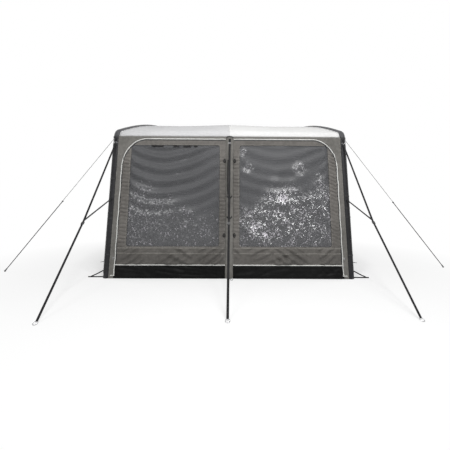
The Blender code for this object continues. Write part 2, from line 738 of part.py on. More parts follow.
def storm_places(side):
    """A storm strap's top end, join, lower end and ring pivot, its brace's start and its D-ring."""
    lift = BEAM_RADIUS + SEAT + (0 if side else FABRIC + SEAT)
    wire = lift + D_RING_WIRE
    hook = front_point(side, D_RING_HEIGHT, wire)
    top = front_point(side, D_RING_HEIGHT - D_RING_RADIUS - D_RING_WIRE - SEAT, wire)
    brace = front_point(side, BRACE_TOP, lift + WEBBING / 2)
    (across, forward, height), (ring_across, ring_forward) = STORM_ROUTES[side]
    join = Vector((across, FEET - forward, height))
    ring = Vector((ring_across, FEET - ring_forward, RING_RADIUS * sin(RING_TILT) + RING_WIRE))
    pivot = ring + ring_slope(join - ring) * RING_RISE
    end = pivot + (join - pivot).normalized() * (RING_WIRE + SEAT)
    return top, join, end, pivot, brace, hook


def ring_slope(along):
    """The way up a ring that leans on the ground under a strap."""
    return Vector((along.x, along.y, 0)).normalized() * cos(RING_TILT) + Vector((0, 0, sin(RING_TILT)))


def storm_strap(place_name, side):
    """A storm strap from the eave's D-ring to a ground ring, its brace strap and its buckle."""
    top, join, end, pivot, brace, hook = storm_places(side)
    place(ribbon(f"storm_strap_{place_name}", [top, join, end], WEBBING_WIDTH, WEBBING), STRAP_BLACK)
    meet = join + (brace - join).normalized() * BRACE_GAP
    place(ribbon(f"brace_strap_{place_name}", [brace, meet], WEBBING_WIDTH, WEBBING), STRAP_BLACK)

    down = (end - join).normalized()
    run = guide(f"buckle_run_{place_name}", join + down * BUCKLE_DROP, strap_across(-down), -down)
    buckle = box(f"storm_buckle_{place_name}", (BUCKLE_WIDTH, BUCKLE_LENGTH, BUCKLE_THICKNESS))
    slot_size = (WEBBING_WIDTH + 2 * BUCKLE_PLAY, BUCKLE_LENGTH + OVERRUN, WEBBING + 2 * BUCKLE_PLAY)
    slot = cutter(box(f"buckle_slot_{place_name}", slot_size))
    slot.parent = run
    bevel(buckle, BUCKLE_ROUND)
    boolean(buckle, slot, "DIFFERENCE")
    place(buckle, BUCKLE_BLACK, run)

    swing = guide(f"ring_pivot_{place_name}", pivot, strap_across(join - pivot), ring_slope(join - pivot))
    start = atan2(RING_BAR, RING_RISE)
    turns = [start + 2 * (pi - start) * step / RING_STEPS for step in range(RING_STEPS + 1)]
    points = [(RING_RADIUS * sin(turn), RING_RADIUS * cos(turn) - RING_RISE, 0) for turn in turns]
    place(wire_loop(f"ground_ring_{place_name}", points, RING_WIRE), RING_STEEL, swing)

    seat = guide(f"d_ring_seat_{place_name}", hook, (1, 0, 0), (0, sin(LEAN), cos(LEAN)))
    turns = [pi * step / D_RING_STEPS for step in range(D_RING_STEPS + 1)]
    points = [(D_RING_RADIUS * cos(turn), -D_RING_RADIUS * sin(turn), 0) for turn in turns]
    place(wire_loop(f"d_ring_{place_name}", points, D_RING_WIRE), RING_STEEL, seat)


def wire_loop(name, points, radius):
    """A closed loop of round wire."""
    loop = tube(name, points, radius, WIRE_RESOLUTION, caps=False)
    loop.data.splines[0].use_cyclic_u = True
    return loop


def arc(centre, radius, first, last):
    """Points along an arc, from one angle to another."""
    angles = [first + (last - first) * step / ARC_STEPS for step in range(ARC_STEPS + 1)]
    return [(centre[0] + radius * cos(angle), centre[1] + radius * sin(angle)) for angle in angles]


def guyline(place_name, side):
    """A side guyline that goes down to a hook, turns there and comes back up to its runner.

    It is laid out in a plane whose X axis runs up the line from the hole that the peg goes
    through and whose Z axis points out of the hook's face.
    """
    out, behind = LINE_ENDS[side]
    eye = Vector((side * out, FEET + behind, PEG_EYE))
    top = Vector((side * (EAVE_WIDTH / 2 + BEAM_RADIUS + LINE_START), FEET + EAVE_SETBACK, LINE_TOP))
    aside = (top - eye).cross(Vector((0, 1, 0))).normalized()
    up = (top - (top - eye).normalized().cross(aside) * LINE_FOLD - eye).normalized()
    plane = guide(f"guyline_plane_{place_name}", eye, up, aside)
    length = (top - eye).dot(up)
    turn = HOOK_LENGTH - HOOK_WIDTH / 2 - HOOK_BAR
    runner_place = turn + (length - turn) * RUNNER_SHARE

    points = [(length, 0, LINE_FOLD)]
    for step in range(LINE_FOLD_STEPS + 1):
        angle = pi * step / LINE_FOLD_STEPS
        points.append((turn - LINE_FOLD * sin(angle), 0, LINE_FOLD * cos(angle)))
    points.append((runner_place + RUNNER_HEIGHT / 2 + LINE_TAIL, 0, -LINE_FOLD))
    place(tube(f"guyline_{place_name}", points, LINE_RADIUS, WIRE_RESOLUTION), LINE_BLACK, plane)
    place(line_hook(f"line_hook_{place_name}", turn), BUCKLE_BLACK, plane)

    slide = guide(f"runner_run_{place_name}", (runner_place, 0, 0), (0, 0, 1), (0, 1, 0), plane)
    half = RUNNER_WIDTH / 2
    outlines = [arc((RUNNER_REACH, 0), half, -pi / 2, pi / 2)]
    outlines[0] += arc((-RUNNER_REACH, 0), half, pi / 2, 3 * pi / 2)
    for centre in (LINE_FOLD, -LINE_FOLD):
        outlines.append(arc((centre, 0), LINE_RADIUS + RUNNER_PLAY, 0, 2 * pi)[1:])
    runner = flat(f"line_runner_{place_name}", outlines, RUNNER_HEIGHT, -RUNNER_HEIGHT / 2)
    place(runner, BUCKLE_BLACK, slide)


def line_hook(name, turn):
    """A flat hook with a round hole for a peg and a small one at its neck that the line turns through."""
    half = HOOK_WIDTH / 2
    spread = atan2(HOOK_NECK / 2, HOOK_NECK_RISE)
    body = arc((0, 0), half, spread + pi / 4, 2 * pi - spread - pi / 4)
    tip = turn + HOOK_BAR
    body += [(HOOK_NECK_RISE, -HOOK_NECK / 2), (tip, -HOOK_NECK / 2), (tip, HOOK_NECK / 2)]
    body += [(HOOK_NECK_RISE, HOOK_NECK / 2)]
    near = ((LINE_FOLD - LINE_RADIUS) ** 2 - (HOOK_THICKNESS / 2) ** 2) ** (1 / 2)
    far = LINE_FOLD + LINE_RADIUS
    hole = arc((turn - (near + far) / 2, 0), (far - near) / 2 + SEAT, 0, 2 * pi)[1:]
    peg_hole = arc((0, 0), HOOK_HOLE, 0, 2 * pi)[1:]
    return flat(name, [body, hole, peg_hole], HOOK_THICKNESS, -HOOK_THICKNESS / 2)


def pegging_straps():
    """A forked webbing strap at each outer foot, and a short strap on the ground at the centre."""
    for place_name, side in SIDES.items():
        near = leg_reach(0) + BEAM_RADIUS / cos(FLARE) + SEAT
        far = near + PEG_STRAP_REACH
        web = PEG_STRAP_WIDTH
        low = SEAT
        high = PEG_STRAP_RISE
        outline = [(near, low), (far + PEG_TAB, low), (far + PEG_TAB, low + web), (far, low + web)]
        outline += [(near - tan(FLARE) * (high + web), high + web), (near - tan(FLARE) * high, high)]
        outline += [(far - 2 * web, low + web), (near - tan(FLARE) * web, low + web)]
        plane = guide(f"peg_strap_plane_{place_name}", (0, FEET, 0), (side, 0, 0), (0, 0, 1))
        strap = flat(f"corner_peg_strap_{place_name}", [outline], PEG_STRAP, -PEG_STRAP / 2)
        place(strap, STRAP_BLACK, plane)
    start = Vector((0, FEET - SKIN / cos(LEAN), SEAT + PEG_STRAP / 2))
    points = [start - Vector((0, CENTRE_PEG_REACH * step / 4, 0)) for step in range(5)]
    place(ribbon("centre_peg_strap", points, PEG_STRAP_WIDTH, PEG_STRAP), STRAP_BLACK)


for old in list(bpy.data.objects):
    bpy.data.objects.remove(old, do_unlink=True)
bpy.context.scene.collection.children.link(part)
bpy.context.scene.collection.children.link(cutters)

SLEEVE_BLACK = material("sleeve_black", (0.022, 0.022, 0.024), 0.7)
BLADDER_CLEAR = material("bladder_clear", (0.62, 0.66, 0.70), 0.35)
VALVE_BLACK = material("valve_black", (0.03, 0.03, 0.03), 0.45)
ROOF_GREY = material("roof_grey", (0.72, 0.73, 0.74), 0.6)
BEAD_WHITE = material("bead_white", (0.8, 0.8, 0.8), 0.5)
WALL_TAUPE = material("wall_taupe", (0.20, 0.19, 0.17), 0.75)
WINDOW_CLEAR = material("window_clear", (0.35, 0.36, 0.38), 0.08, alpha=0.35)
BAND_BLACK = material("band_black", (0.012, 0.012, 0.012), 0.5)
PIPING_PALE = material("piping_pale", (0.52, 0.52, 0.50), 0.6)
BLIND_GREY = material("blind_grey", (0.08, 0.08, 0.082), 0.8)
PAD_GREY = material("pad_grey", (0.10, 0.10, 0.10), 0.8)
STRAP_BLACK = material("strap_black", (0.018, 0.018, 0.020), 0.7)
BUCKLE_BLACK = material("buckle_black", (0.02, 0.02, 0.02), 0.4)
RING_STEEL = material("ring_steel", (0.62, 0.62, 0.62), 0.25, 1.0)
LINE_BLACK = material("line_black", (0.05, 0.05, 0.05), 0.7)
ZIP_METAL = material("zip_metal", (0.35, 0.35, 0.36), 0.35, 1.0)

front = (0, FEET - SKIN / cos(LEAN), 0)
front_wall = guide("front_wall_plane", front, (1, 0, 0), (0, sin(LEAN), cos(LEAN)))
for beam_name, beam_side in BEAMS.items():
    air_beam(beam_name, beam_side)
    storm_strap(beam_name, beam_side)
roof()
front_surround(front_wall)
for side_name, wall_side in SIDES.items():
    front_panel(side_name, wall_side, front_wall)
    zip_slider(side_name, wall_side, front_wall)
    side_of_awning(side_name, wall_side)
    guyline(side_name, wall_side)
pegging_straps()
for piece in part.objects:
    if piece.type == "MESH" and not piece.data.polygons:
        continue
    if piece.type == "MESH":
        piece.data.shade_smooth()
        piece.data.set_sharp_from_angle(angle=radians(35))
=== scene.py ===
"""The looks of an inflatable caravan awning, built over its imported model.

Metres, with +X to the right seen from the front, +Y to the caravan and +Z up.
"""

from collections import namedtuple
from math import atan2, cos, exp, pi, radians, sin, tan

import bmesh
import bpy
from mathutils import Matrix, Vector, noise


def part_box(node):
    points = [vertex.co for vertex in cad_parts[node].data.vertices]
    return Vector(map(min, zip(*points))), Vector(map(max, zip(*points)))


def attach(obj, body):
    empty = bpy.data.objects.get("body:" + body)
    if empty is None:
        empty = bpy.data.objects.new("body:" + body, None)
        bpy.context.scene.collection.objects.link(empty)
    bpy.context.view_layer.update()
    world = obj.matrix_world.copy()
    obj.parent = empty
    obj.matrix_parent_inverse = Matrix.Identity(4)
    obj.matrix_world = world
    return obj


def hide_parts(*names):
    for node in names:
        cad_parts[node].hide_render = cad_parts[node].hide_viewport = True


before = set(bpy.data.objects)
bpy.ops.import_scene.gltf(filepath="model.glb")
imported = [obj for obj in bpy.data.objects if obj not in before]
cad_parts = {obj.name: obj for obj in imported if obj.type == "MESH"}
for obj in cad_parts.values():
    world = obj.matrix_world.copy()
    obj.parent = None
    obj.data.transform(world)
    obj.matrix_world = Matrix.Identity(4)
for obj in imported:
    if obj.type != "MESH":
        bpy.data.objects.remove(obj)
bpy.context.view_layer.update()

# The awning's own sizes, as the model has them
LEG_WIDTH = 3.21
EAVE_WIDTH = 3.10
EAVE_HEIGHT = 1.93
EAVE_SETBACK = 0.194
ROOF_RISE = 0.51
ROOF_CROWN = 0.055
FEET = -1.204984
BACK = 1.26
LEAN = atan2(EAVE_SETBACK, EAVE_HEIGHT)
FLARE = atan2((LEG_WIDTH - EAVE_WIDTH) / 2, EAVE_HEIGHT)
WALL_OUT = (0, -cos(LEAN), sin(LEAN))
WALL_UP = Vector((0, sin(LEAN), cos(LEAN)))
BEAM_RADIUS = 0.05
ELBOW_RADIUS = 0.09
SEAT = 0.0004  # between pieces that lie on each other
LEAF_GAP = 0.0006  # round a panel or door that opens
HINGE_GAP = 0.0026
GROUND_GAP = 0.004
SKIN = BEAM_RADIUS + SEAT
FABRIC = 0.002
CLEAR_SHEET = 0.0008
ROOF_SEAM = 1.885
ROOF_SAG = 0.012
PAD_THICKNESS = 0.035
STRIP_SIDE = 0.05  # of the strip between the panels
PANEL_HINGE = STRIP_SIDE + HINGE_GAP
PANEL_TOP = 1.868
PANEL_SIDE = 1.51  # at the ground
PANEL_TAPER = 0.04
PANEL_CORNER = {"across": 1.13, "up": 1.448, "width": 0.34, "height": 0.42}
BAND_TOP = 0.176
SEAM_HEIGHT = 0.325  # of the seam across a panel, below its window
PIPING_INSET = 0.0096
ZIP_INSET = 0.0215
SEAM_INSET = 0.026
WINDOW = {"inner": 0.135, "outer_top": 1.333, "outer_foot": 1.357, "foot": 0.415, "top": 1.772, "corner": 0.03}
WEBBING_WIDTH = 0.025
SIDES = {"left": -1, "right": 1}
BEAMS = {"left": -1, "centre": 0, "right": 1}


# Shaping


def link(obj):
    bpy.context.scene.collection.objects.link(obj)
    return obj


def mesh_piece(name, shape, finish, smooth=True, tidy=True):
    """A piece from a bmesh, whose normals are made to face outwards where it is closed."""
    if tidy:
        bmesh.ops.recalc_face_normals(shape, faces=shape.faces)
    data = bpy.data.meshes.new(name)
    shape.to_mesh(data)
    shape.free()
    data.materials.append(finish)
    if smooth:
        data.shade_smooth()
        data.set_sharp_from_angle(angle=radians(40))
    return link(bpy.data.objects.new(name, data))


def belongs(obj, body, slot, *nodes):
    """Lets a piece ride on a body and stand for CAD nodes, whose parts it hides; the slot is not used."""
    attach(obj, body)
    if nodes:
        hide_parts(*nodes)
    return obj


def thicken(obj, thickness, offset=0.0):
    wall = obj.modifiers.new("wall", "SOLIDIFY")
    wall.thickness = thickness
    wall.offset = offset
    return obj


def soften(obj, width, segments=2):
    edges = obj.modifiers.new("edges", "BEVEL")
    edges.width = width
    edges.segments = segments
    edges.limit_method = "ANGLE"
    return obj


def smoothstep(low, high, value):
    share = min(max((value - low) / (high - low), 0.0), 1.0)
    return share * share * (3 - 2 * share)


def ripple(across, up, size, seed=0.0):
    """Smooth noise from -1 to 1, whose lumps are about size across."""
    return noise.noise(Vector((across / size, up / size, seed)))


def evenly(first, last, count):
    """Values from first to last in count equal steps, both ends included."""
    return [first + (last - first) * step / count for step in range(count + 1)]


def arc_round(last, corner, following, radius, steps):
    """An arc in a plane that stands for a corner between two others."""
    last, corner, following = Vector(last), Vector(corner), Vector(following)
    before = (corner - last).normalized()
    turn = before.angle_signed((following - corner).normalized())
    start = corner - before * radius * tan(abs(turn) / 2)
    left = Vector((-before.y, before.x)) * (-1 if turn > 0 else 1)
    centre = start + left * radius
    return [centre + Matrix.Rotation(-turn * step / steps, 2) @ (start - centre) for step in range(steps + 1)]


def rounded(corners, radius, steps=5):
    """A closed outline in a plane whose corners are arcs."""
    outline = []
    for last, corner, following in zip(corners[-1:] + corners, corners, corners[1:] + corners):
        outline += [tuple(point) for point in arc_round(last, corner, following, radius, steps)]
    return outline


def settled(obj):
    """An object's mesh with its modifiers carried out."""
    bpy.context.view_layer.update()
    return bpy.data.meshes.new_from_object(obj.evaluated_get(bpy.context.evaluated_depsgraph_get()))


def cut_flat(outlines):
    """A flat bmesh cut to one outline, with any others as holes."""
    data = bpy.data.curves.new("outline", "CURVE")
    data.dimensions = "2D"
    data.fill_mode = "BOTH"
    for outline in outlines:
        spline = data.splines.new("POLY")
        spline.use_cyclic_u = True
        spline.points.add(len(outline) - 1)
        for spot, (across, up) in zip(spline.points, outline):
            spot.co = (across, up, 0, 1)
    pattern = link(bpy.data.objects.new("outline", data))
    filled = settled(pattern)
    bpy.data.objects.remove(pattern)
    shape = bmesh.new()
    shape.from_mesh(filled)
    bpy.data.meshes.remove(filled)
    bmesh.ops.remove_doubles(shape, verts=shape.verts, dist=0.00001)
    for face in shape.faces:
        if face.normal.z < 0:
            face.normal_flip()
    return shape


def slice_up(shape, axis, pitch):
    """Slices a flat mesh into strips across an axis, one cut at a time from its lowest side."""
    low = min(vertex.co[axis] for vertex in shape.verts)
    high = max(vertex.co[axis] for vertex in shape.verts)
    count = max(1, round((high - low) / pitch))
    faces = list(shape.faces)
    for step in range(1, count):
        level = low + (high - low) * step / count
        spot, normal = Vector(), Vector()
        spot[axis], normal[axis] = level, 1
        edges = {edge for face in faces for edge in face.edges}
        verts = {vertex for face in faces for vertex in face.verts}
        cut = bmesh.ops.bisect_plane(shape, geom=[*verts, *edges, *faces], plane_co=spot, plane_no=normal)
        touched = {face for face in cut["geom"] if isinstance(face, bmesh.types.BMFace)}
        faces = [face for face in touched if face.calc_center_bounds()[axis] > level]


def cloth(name, outlines, spot, finish, pitch=0.012, thickness=FABRIC, offset=1.0, pitch_up=None):
    """A piece of cloth cut to outlines; spot(across, up) puts each point of it in its place."""
    shape = cut_flat(outlines)
    slice_up(shape, 0, pitch)
    slice_up(shape, 1, pitch_up or pitch)
    return draped(name, shape, spot, finish, thickness, offset)


def keep_flat(shape, across=1.0, up=1.0, middle=0.0):
    """Keeps a flat mesh's measures as its UV map."""
    marks = shape.loops.layers.uv.new("UVMap")
    for face in shape.faces:
        for loop in face.loops:
            loop[marks].uv = ((loop.vert.co.x - middle) * across, loop.vert.co.y * up)


def draped(name, shape, spot, finish, thickness=FABRIC, offset=1.0):
    """Puts a flat mesh in place point by point."""
    keep_flat(shape)
    for vertex in shape.verts:
        vertex.co = spot(vertex.co.x, vertex.co.y)
    obj = mesh_piece(name, shape, finish, smooth=False, tidy=False)
    obj.data.shade_smooth()
    return thicken(obj, thickness, offset)


def gridded(width, height, columns, rows):
    """A flat rectangle of quads from the origin."""
    shape = bmesh.new()
    bmesh.ops.create_grid(shape, x_segments=columns, y_segments=rows, size=0.5)
    for vertex in shape.verts:
        vertex.co = ((vertex.co.x + 0.5) * width, (vertex.co.y + 0.5) * height, 0)
    return shape


def swept(name, points, profile, finish, closed=False, frame_of=None):
    """A piece with a closed profile carried along points; frame_of(index) gives its two axes."""
    shape = bmesh.new()
    marks = shape.loops.layers.uv.new("UVMap")
    rings = []
    for index, point in enumerate(points):
        across, out = frame_of(index)
        rings.append([shape.verts.new(Vector(point) + across * a + out * b) for a, b in profile])
    lengths = [0.0]
    for before, after in zip(points, points[1:]):
        lengths.append(lengths[-1] + (Vector(after) - Vector(before)).length)
    girth = [0.0]
    for before, after in zip(profile, profile[1:] + profile[:1]):
        girth.append(girth[-1] + (Vector(after) - Vector(before)).length)
    count = len(profile)
    for index in range(len(rings) if closed else len(rings) - 1):
        here, there = rings[index], rings[(index + 1) % len(rings)]
        far = lengths[index + 1] if index + 1 < len(lengths) else lengths[index]
        for side in range(count):
            following = (side + 1) % count
            face = shape.faces.new((here[side], here[following], there[following], there[side]))
            corners = [(side, lengths[index]), (side + 1, lengths[index]), (side + 1, far), (side, far)]
            for loop, (place, along) in zip(face.loops, corners):
                loop[marks].uv = (girth[place], along)
    if not closed:
        shape.faces.new(rings[0])
        shape.faces.new(rings[-1])
    return mesh_piece(name, shape, finish)


def along_frames(points, up=(0, 0, 1), closed=False):
    """For each point of a path, the axes across it and out of it, kept square to up where they can be."""
    frames = []
    for index in range(len(points)):
        before = Vector(points[index - 1] if index or closed else points[0])
        after = Vector(points[(index + 1) % len(points)] if index + 1 < len(points) or closed else points[-1])
        along = (after - before).normalized()
        across = along.cross(Vector(up)).normalized()
        frames.append((across, across.cross(along).normalized()))
    return lambda index: frames[index]


def joined_rings(rings):
    """A closed bmesh through rings of points."""
    shape = bmesh.new()
    loops = [[shape.verts.new(point) for point in ring] for ring in rings]
    for below, above in zip(loops, loops[1:]):
        for step in range(len(below)):
            after = (step + 1) % len(below)
            shape.faces.new((below[step], below[after], above[after], above[step]))
    shape.faces.new(loops[0])
    shape.faces.new(loops[-1])
    return shape


def strip(width, thickness):
    """The profile of a flat strip."""
    across, deep = width / 2, thickness / 2
    return [(-across, -deep), (across, -deep), (across, deep), (-across, deep)]


def tape(width, edge=0.0003, thickness=0.0009):
    """The profile of a tape that lies on a cloth, thin at its edges."""
    half = width / 2
    return [(-half, 0), (edge - half, thickness), (half - edge, thickness), (half, 0)]


def circle(radius, sides):
    return [(radius * cos(2 * pi * step / sides), radius * sin(2 * pi * step / sides)) for step in range(sides)]


def round_bar(name, points, radius, finish, sides=12, closed=False, up=(0, 0, 1)):
    """A round bar, rope or wire along points."""
    return swept(name, points, circle(radius, sides), finish, closed=closed, frame_of=along_frames(points, up, closed))


def soft_line(points, pitch):
    """Points every pitch or so along straight runs between the given points."""
    line = [Vector(points[0])]
    for start, end in zip(points, points[1:]):
        start, end = Vector(start), Vector(end)
        count = max(1, round((end - start).length / pitch))
        line += [start.lerp(end, step / count) for step in range(1, count + 1)]
    return line


# Materials


class Finish:
    """A material whose nodes are added and joined with short calls."""

    def __init__(self, name):
        self.made = bpy.data.materials.new(name)
        self.made.use_nodes = True
        self.tree = self.made.node_tree
        self.shader = self.tree.nodes["Principled BSDF"]

    def add(self, kind, inputs=(), **settings):
        return add_node(self.tree, kind, inputs, **settings)

    def place(self, kind):
        return self.add("ShaderNodeTexCoord").outputs[kind]

    def cloud(self, vector, scale, detail):
        """Soft noise over a place, with its clouds about 1 / scale metres wide."""
        return self.add("ShaderNodeTexNoise", {"Vector": vector, "Scale": scale, "Detail": detail})

    def ranged(self, value, low=0.0, high=1.0, of=(0.0, 1.0)):
        """A value between two limits, taken to between low and high."""
        inputs = {"Value": value, "From Min": of[0], "From Max": of[1], "To Min": low, "To Max": high}
        return self.add("ShaderNodeMapRange", inputs).outputs[0]

    def maths(self, operation, *values):
        return maths(self.tree, operation, *values)

    def scaled(self, vector, share):
        return self.add("ShaderNodeVectorMath", {0: vector, "Scale": share}, operation="SCALE").outputs[0]

    def vectors(self, operation, *values):
        return self.add("ShaderNodeVectorMath", dict(enumerate(values)), operation=operation).outputs[0]

    def bump(self, height, strength, distance, **below):
        inputs = {"Strength": strength, "Distance": distance, "Height": height, **below}
        return self.add("ShaderNodeBump", inputs).outputs[0]

    def join(self, **sources):
        for name, source in sources.items():
            self.tree.links.new(source, self.shader.inputs[name.replace("_", " ")])

    def set(self, **values):
        for name, value in values.items():
            self.shader.inputs[name.replace("_", " ")].default_value = value


def add_node(tree, kind, inputs=(), **settings):
    node = tree.nodes.new(kind)
    for name, value in settings.items():
        setattr(node, name, value)
    for name, value in dict(inputs).items():
        if isinstance(value, bpy.types.NodeSocket):
            tree.links.new(value, node.inputs[name])
        else:
            node.inputs[name].default_value = value
    return node


def maths(tree, operation, *values):
    return add_node(tree, "ShaderNodeMath", dict(enumerate(values)), operation=operation).outputs[0]


def effect(name, sockets, results):
    """An empty shader node group with its sockets named."""
    group = bpy.data.node_groups.new(name, "ShaderNodeTree")
    for label, kind, value in sockets:
        socket = group.interface.new_socket(label, in_out="INPUT", socket_type=kind)
        if value is not None:
            socket.default_value = value
    for label in results:
        group.interface.new_socket(label, in_out="OUTPUT", socket_type="NodeSocketFloat")
    return group, group.nodes.new("NodeGroupInput"), group.nodes.new("NodeGroupOutput")


def make_weave():
    """Crossing threads: a height, and how much of the thread's face shows."""
    sockets = [("Vector", "NodeSocketVector", None), ("Thread", "NodeSocketFloat", 0.0008)]
    group, given, result = effect("weave", sockets, ["Height", "Face"])
    scale = maths(group, "DIVIDE", pi, given.outputs["Thread"])
    inputs = {0: given.outputs["Vector"], "Scale": scale}
    size = add_node(group, "ShaderNodeVectorMath", inputs, operation="SCALE").outputs[0]
    parts = add_node(group, "ShaderNodeSeparateXYZ", {"Vector": size})
    warp, weft = (maths(group, "SINE", parts.outputs[axis]) for axis in "XY")
    crossing = maths(group, "MULTIPLY", warp, weft)
    group.links.new(maths(group, "MULTIPLY_ADD", crossing, 0.5, 0.5), result.inputs["Height"])
    group.links.new(maths(group, "ABSOLUTE", crossing), result.inputs["Face"])
    return group


def make_wear():
    """Uneven ageing of a cloth: a slow cloud of tone with a finer one in it."""
    sockets = [("Vector", "NodeSocketVector", None)]
    sockets += [("Cloud", "NodeSocketFloat", 2.0), ("Fine", "NodeSocketFloat", 30.0)]
    group, given, result = effect("wear", sockets, ["Tone"])
    clouds = []
    for size, detail in (("Cloud", 4.0), ("Fine", 5.0)):
        inputs = {"Vector": given.outputs["Vector"], "Scale": given.outputs[size], "Detail": detail}
        clouds.append(add_node(group, "ShaderNodeTexNoise", inputs).outputs["Fac"])
    mixed = maths(group, "ADD", *clouds)
    group.links.new(maths(group, "MULTIPLY", mixed, 0.5), result.inputs["Tone"])
    return group


WEAVE = make_weave()
WEAR = make_wear()


def cloth_finish(
    name, dark, light, roughness, thread=0.0009, weave=0.25, sheen=0.15, on="UV", cloud=2.0, gloss=0.25, low_shade=0.0
):
    """Woven cloth between two tones, with a weave, soft unevenness and painted shade that darkens it low down."""
    finish = Finish(name)
    solid = finish.place("Object")
    wear = finish.add("ShaderNodeGroup", {}, node_tree=WEAR)
    weft = finish.add("ShaderNodeGroup", {}, node_tree=WEAVE)
    finish.tree.links.new(solid, wear.inputs["Vector"])
    finish.tree.links.new(finish.place(on), weft.inputs["Vector"])
    wear.inputs["Cloud"].default_value = cloud
    weft.inputs["Thread"].default_value = thread
    tone = finish.ranged(wear.outputs["Tone"], of=(0.35, 0.65))
    threads = finish.maths("MULTIPLY_ADD", weft.outputs["Face"], 0.25, tone)
    ramp = finish.add("ShaderNodeMix", {"Factor": threads}, data_type="RGBA")
    ramp.inputs[6].default_value = (*dark, 1)
    ramp.inputs[7].default_value = (*light, 1)
    # Painted shade: the colour is darkened below half a metre, most below a quarter of a metre.
    height = finish.add("ShaderNodeSeparateXYZ", {"Vector": solid}).outputs["Z"]
    unshaded = finish.ranged(height, 1 - low_shade, 1.0, of=(0.25, 0.50))
    woven = finish.bump(weft.outputs["Height"], weave, thread * 0.4)
    uneven = finish.bump(finish.cloud(solid, 60.0, 3.0).outputs["Fac"], 0.2, 0.0012, Normal=woven)
    finish.join(Base_Color=finish.scaled(ramp.outputs[2], unshaded), Normal=uneven)
    finish.set(Roughness=roughness, Sheen_Weight=sheen, Sheen_Roughness=0.5, Specular_IOR_Level=gloss)
    return finish.made


def moulded_finish(name, colour, roughness, grain=900.0, strength=0.12, metallic=0.0):
    """Moulded plastic or plated metal with a fine grain and uneven polish."""
    finish = Finish(name)
    solid = finish.place("Object")
    slow = finish.cloud(solid, 45.0, 4.0).outputs["Fac"]
    tint = finish.scaled(colour, finish.ranged(slow, 0.82, 1.15))
    polish = finish.ranged(slow, roughness * 0.8, roughness * 1.25)
    grained = finish.bump(finish.cloud(solid, grain, 3.0).outputs["Fac"], strength, 0.0004)
    finish.join(Base_Color=tint, Roughness=polish, Normal=grained)
    finish.set(Metallic=metallic)
    return finish.made


def crumpled_facing(finish, solid, place, crumple):
    """The way a crumpled sheet faces: a random tilt for each of its facets, over a soft unevenness."""
    lifted = finish.add("ShaderNodeCombineXYZ", {"Z": 0.14}).outputs[0]
    for scale, tilt in ((24.0, 0.20), (48.0, 0.36)):
        cells = finish.add("ShaderNodeTexVoronoi", {"Vector": place, "Scale": scale}).outputs["Color"]
        cells = finish.scaled(finish.vectors("SUBTRACT", cells, (0.5, 0.5, 0.5)), tilt)
        lifted = finish.vectors("ADD", lifted, cells)
    skin = finish.bump(finish.cloud(solid, 26.0, 2.0).outputs["Fac"], 0.2, 0.001)
    return finish.vectors("NORMALIZE", finish.vectors("ADD", skin, finish.scaled(lifted, crumple)))


def painted_glint_flecks(finish, place, glint_share):
    """Painted glints: pale flecks added to a clear sheet's colour, more of them and brighter where its glint share is
    higher.
    """
    flecks = finish.add("ShaderNodeTexVoronoi", {"Vector": place, "Scale": 88.0})
    chance = finish.add("ShaderNodeSeparateXYZ", {"Vector": flecks.outputs["Color"]})
    struck = finish.maths("GREATER_THAN", chance.outputs["X"], finish.maths("MULTIPLY_ADD", glint_share, -0.75, 1.0))
    glint_tone = finish.maths("MULTIPLY_ADD", chance.outputs["Y"], 0.60, 0.10)
    glint_tone = finish.maths("MULTIPLY", glint_tone, finish.ranged(glint_share, 0.34, 1.5, of=(0.12, 0.75)))
    return finish.scaled((0.80, 0.76, 0.82), finish.maths("MULTIPLY", glint_tone, struck))


def window_finish(name):
    """Tinted clear vinyl: glossy, a little see-through, broken into small facets where it is crumpled, with painted
    glints as pale flecks in its colour.
    """
    finish = Finish(name)
    solid = finish.place("Object")
    drift = finish.scaled(finish.cloud(solid, 22.0, 2.0).outputs["Color"], 0.030)
    place = finish.vectors("ADD", solid, drift)
    crumple = finish.add("ShaderNodeAttribute", attribute_name="crumple").outputs["Fac"]
    glint_share = finish.add("ShaderNodeAttribute", attribute_name="painted_glint").outputs["Fac"]
    shade = finish.ranged(finish.cloud(solid, 4.0, 2.0).outputs["Fac"], 0.85, 1.15)
    # Painted glints: pale flecks are added to the tint.
    tint = finish.vectors("ADD", finish.scaled((0.080, 0.081, 0.085), shade), painted_glint_flecks(finish, place, glint_share))
    finish.join(Base_Color=tint, Normal=crumpled_facing(finish, solid, place, crumple))
    finish.join(Roughness=finish.ranged(crumple, 0.42, 0.12), Specular_IOR_Level=finish.ranged(crumple, 0.22, 0.60))
    finish.set(Alpha=0.66, IOR=1.5)
    return finish.made


# The wall cloth is darkened towards the ground as painted shade.
WALL_CLOTH = cloth_finish("wall_taupe", (0.080, 0.075, 0.069), (0.127, 0.119, 0.110), 0.82, sheen=0.05, low_shade=0.26)
SURROUND_CLOTH = cloth_finish("surround_grey", (0.090, 0.087, 0.080), (0.145, 0.140, 0.130), 0.82, sheen=0.05)
# Two copies of one roof cloth: the darker one paints shade on the roof's left half, the paler one paints light on its
# right half.
ROOF_SHADED_COPY = cloth_finish("roof_painted_shade", (0.385, 0.385, 0.390), (0.460, 0.460, 0.465), 0.6, sheen=0.0)
ROOF_LIT_COPY = cloth_finish("roof_painted_light", (0.505, 0.505, 0.500), (0.570, 0.570, 0.565), 0.6, sheen=0.0)
SLEEVE_CLOTH = cloth_finish("sleeve_black", (0.007, 0.007, 0.008), (0.017, 0.017, 0.019), 0.50, sheen=0.04, gloss=0.22)
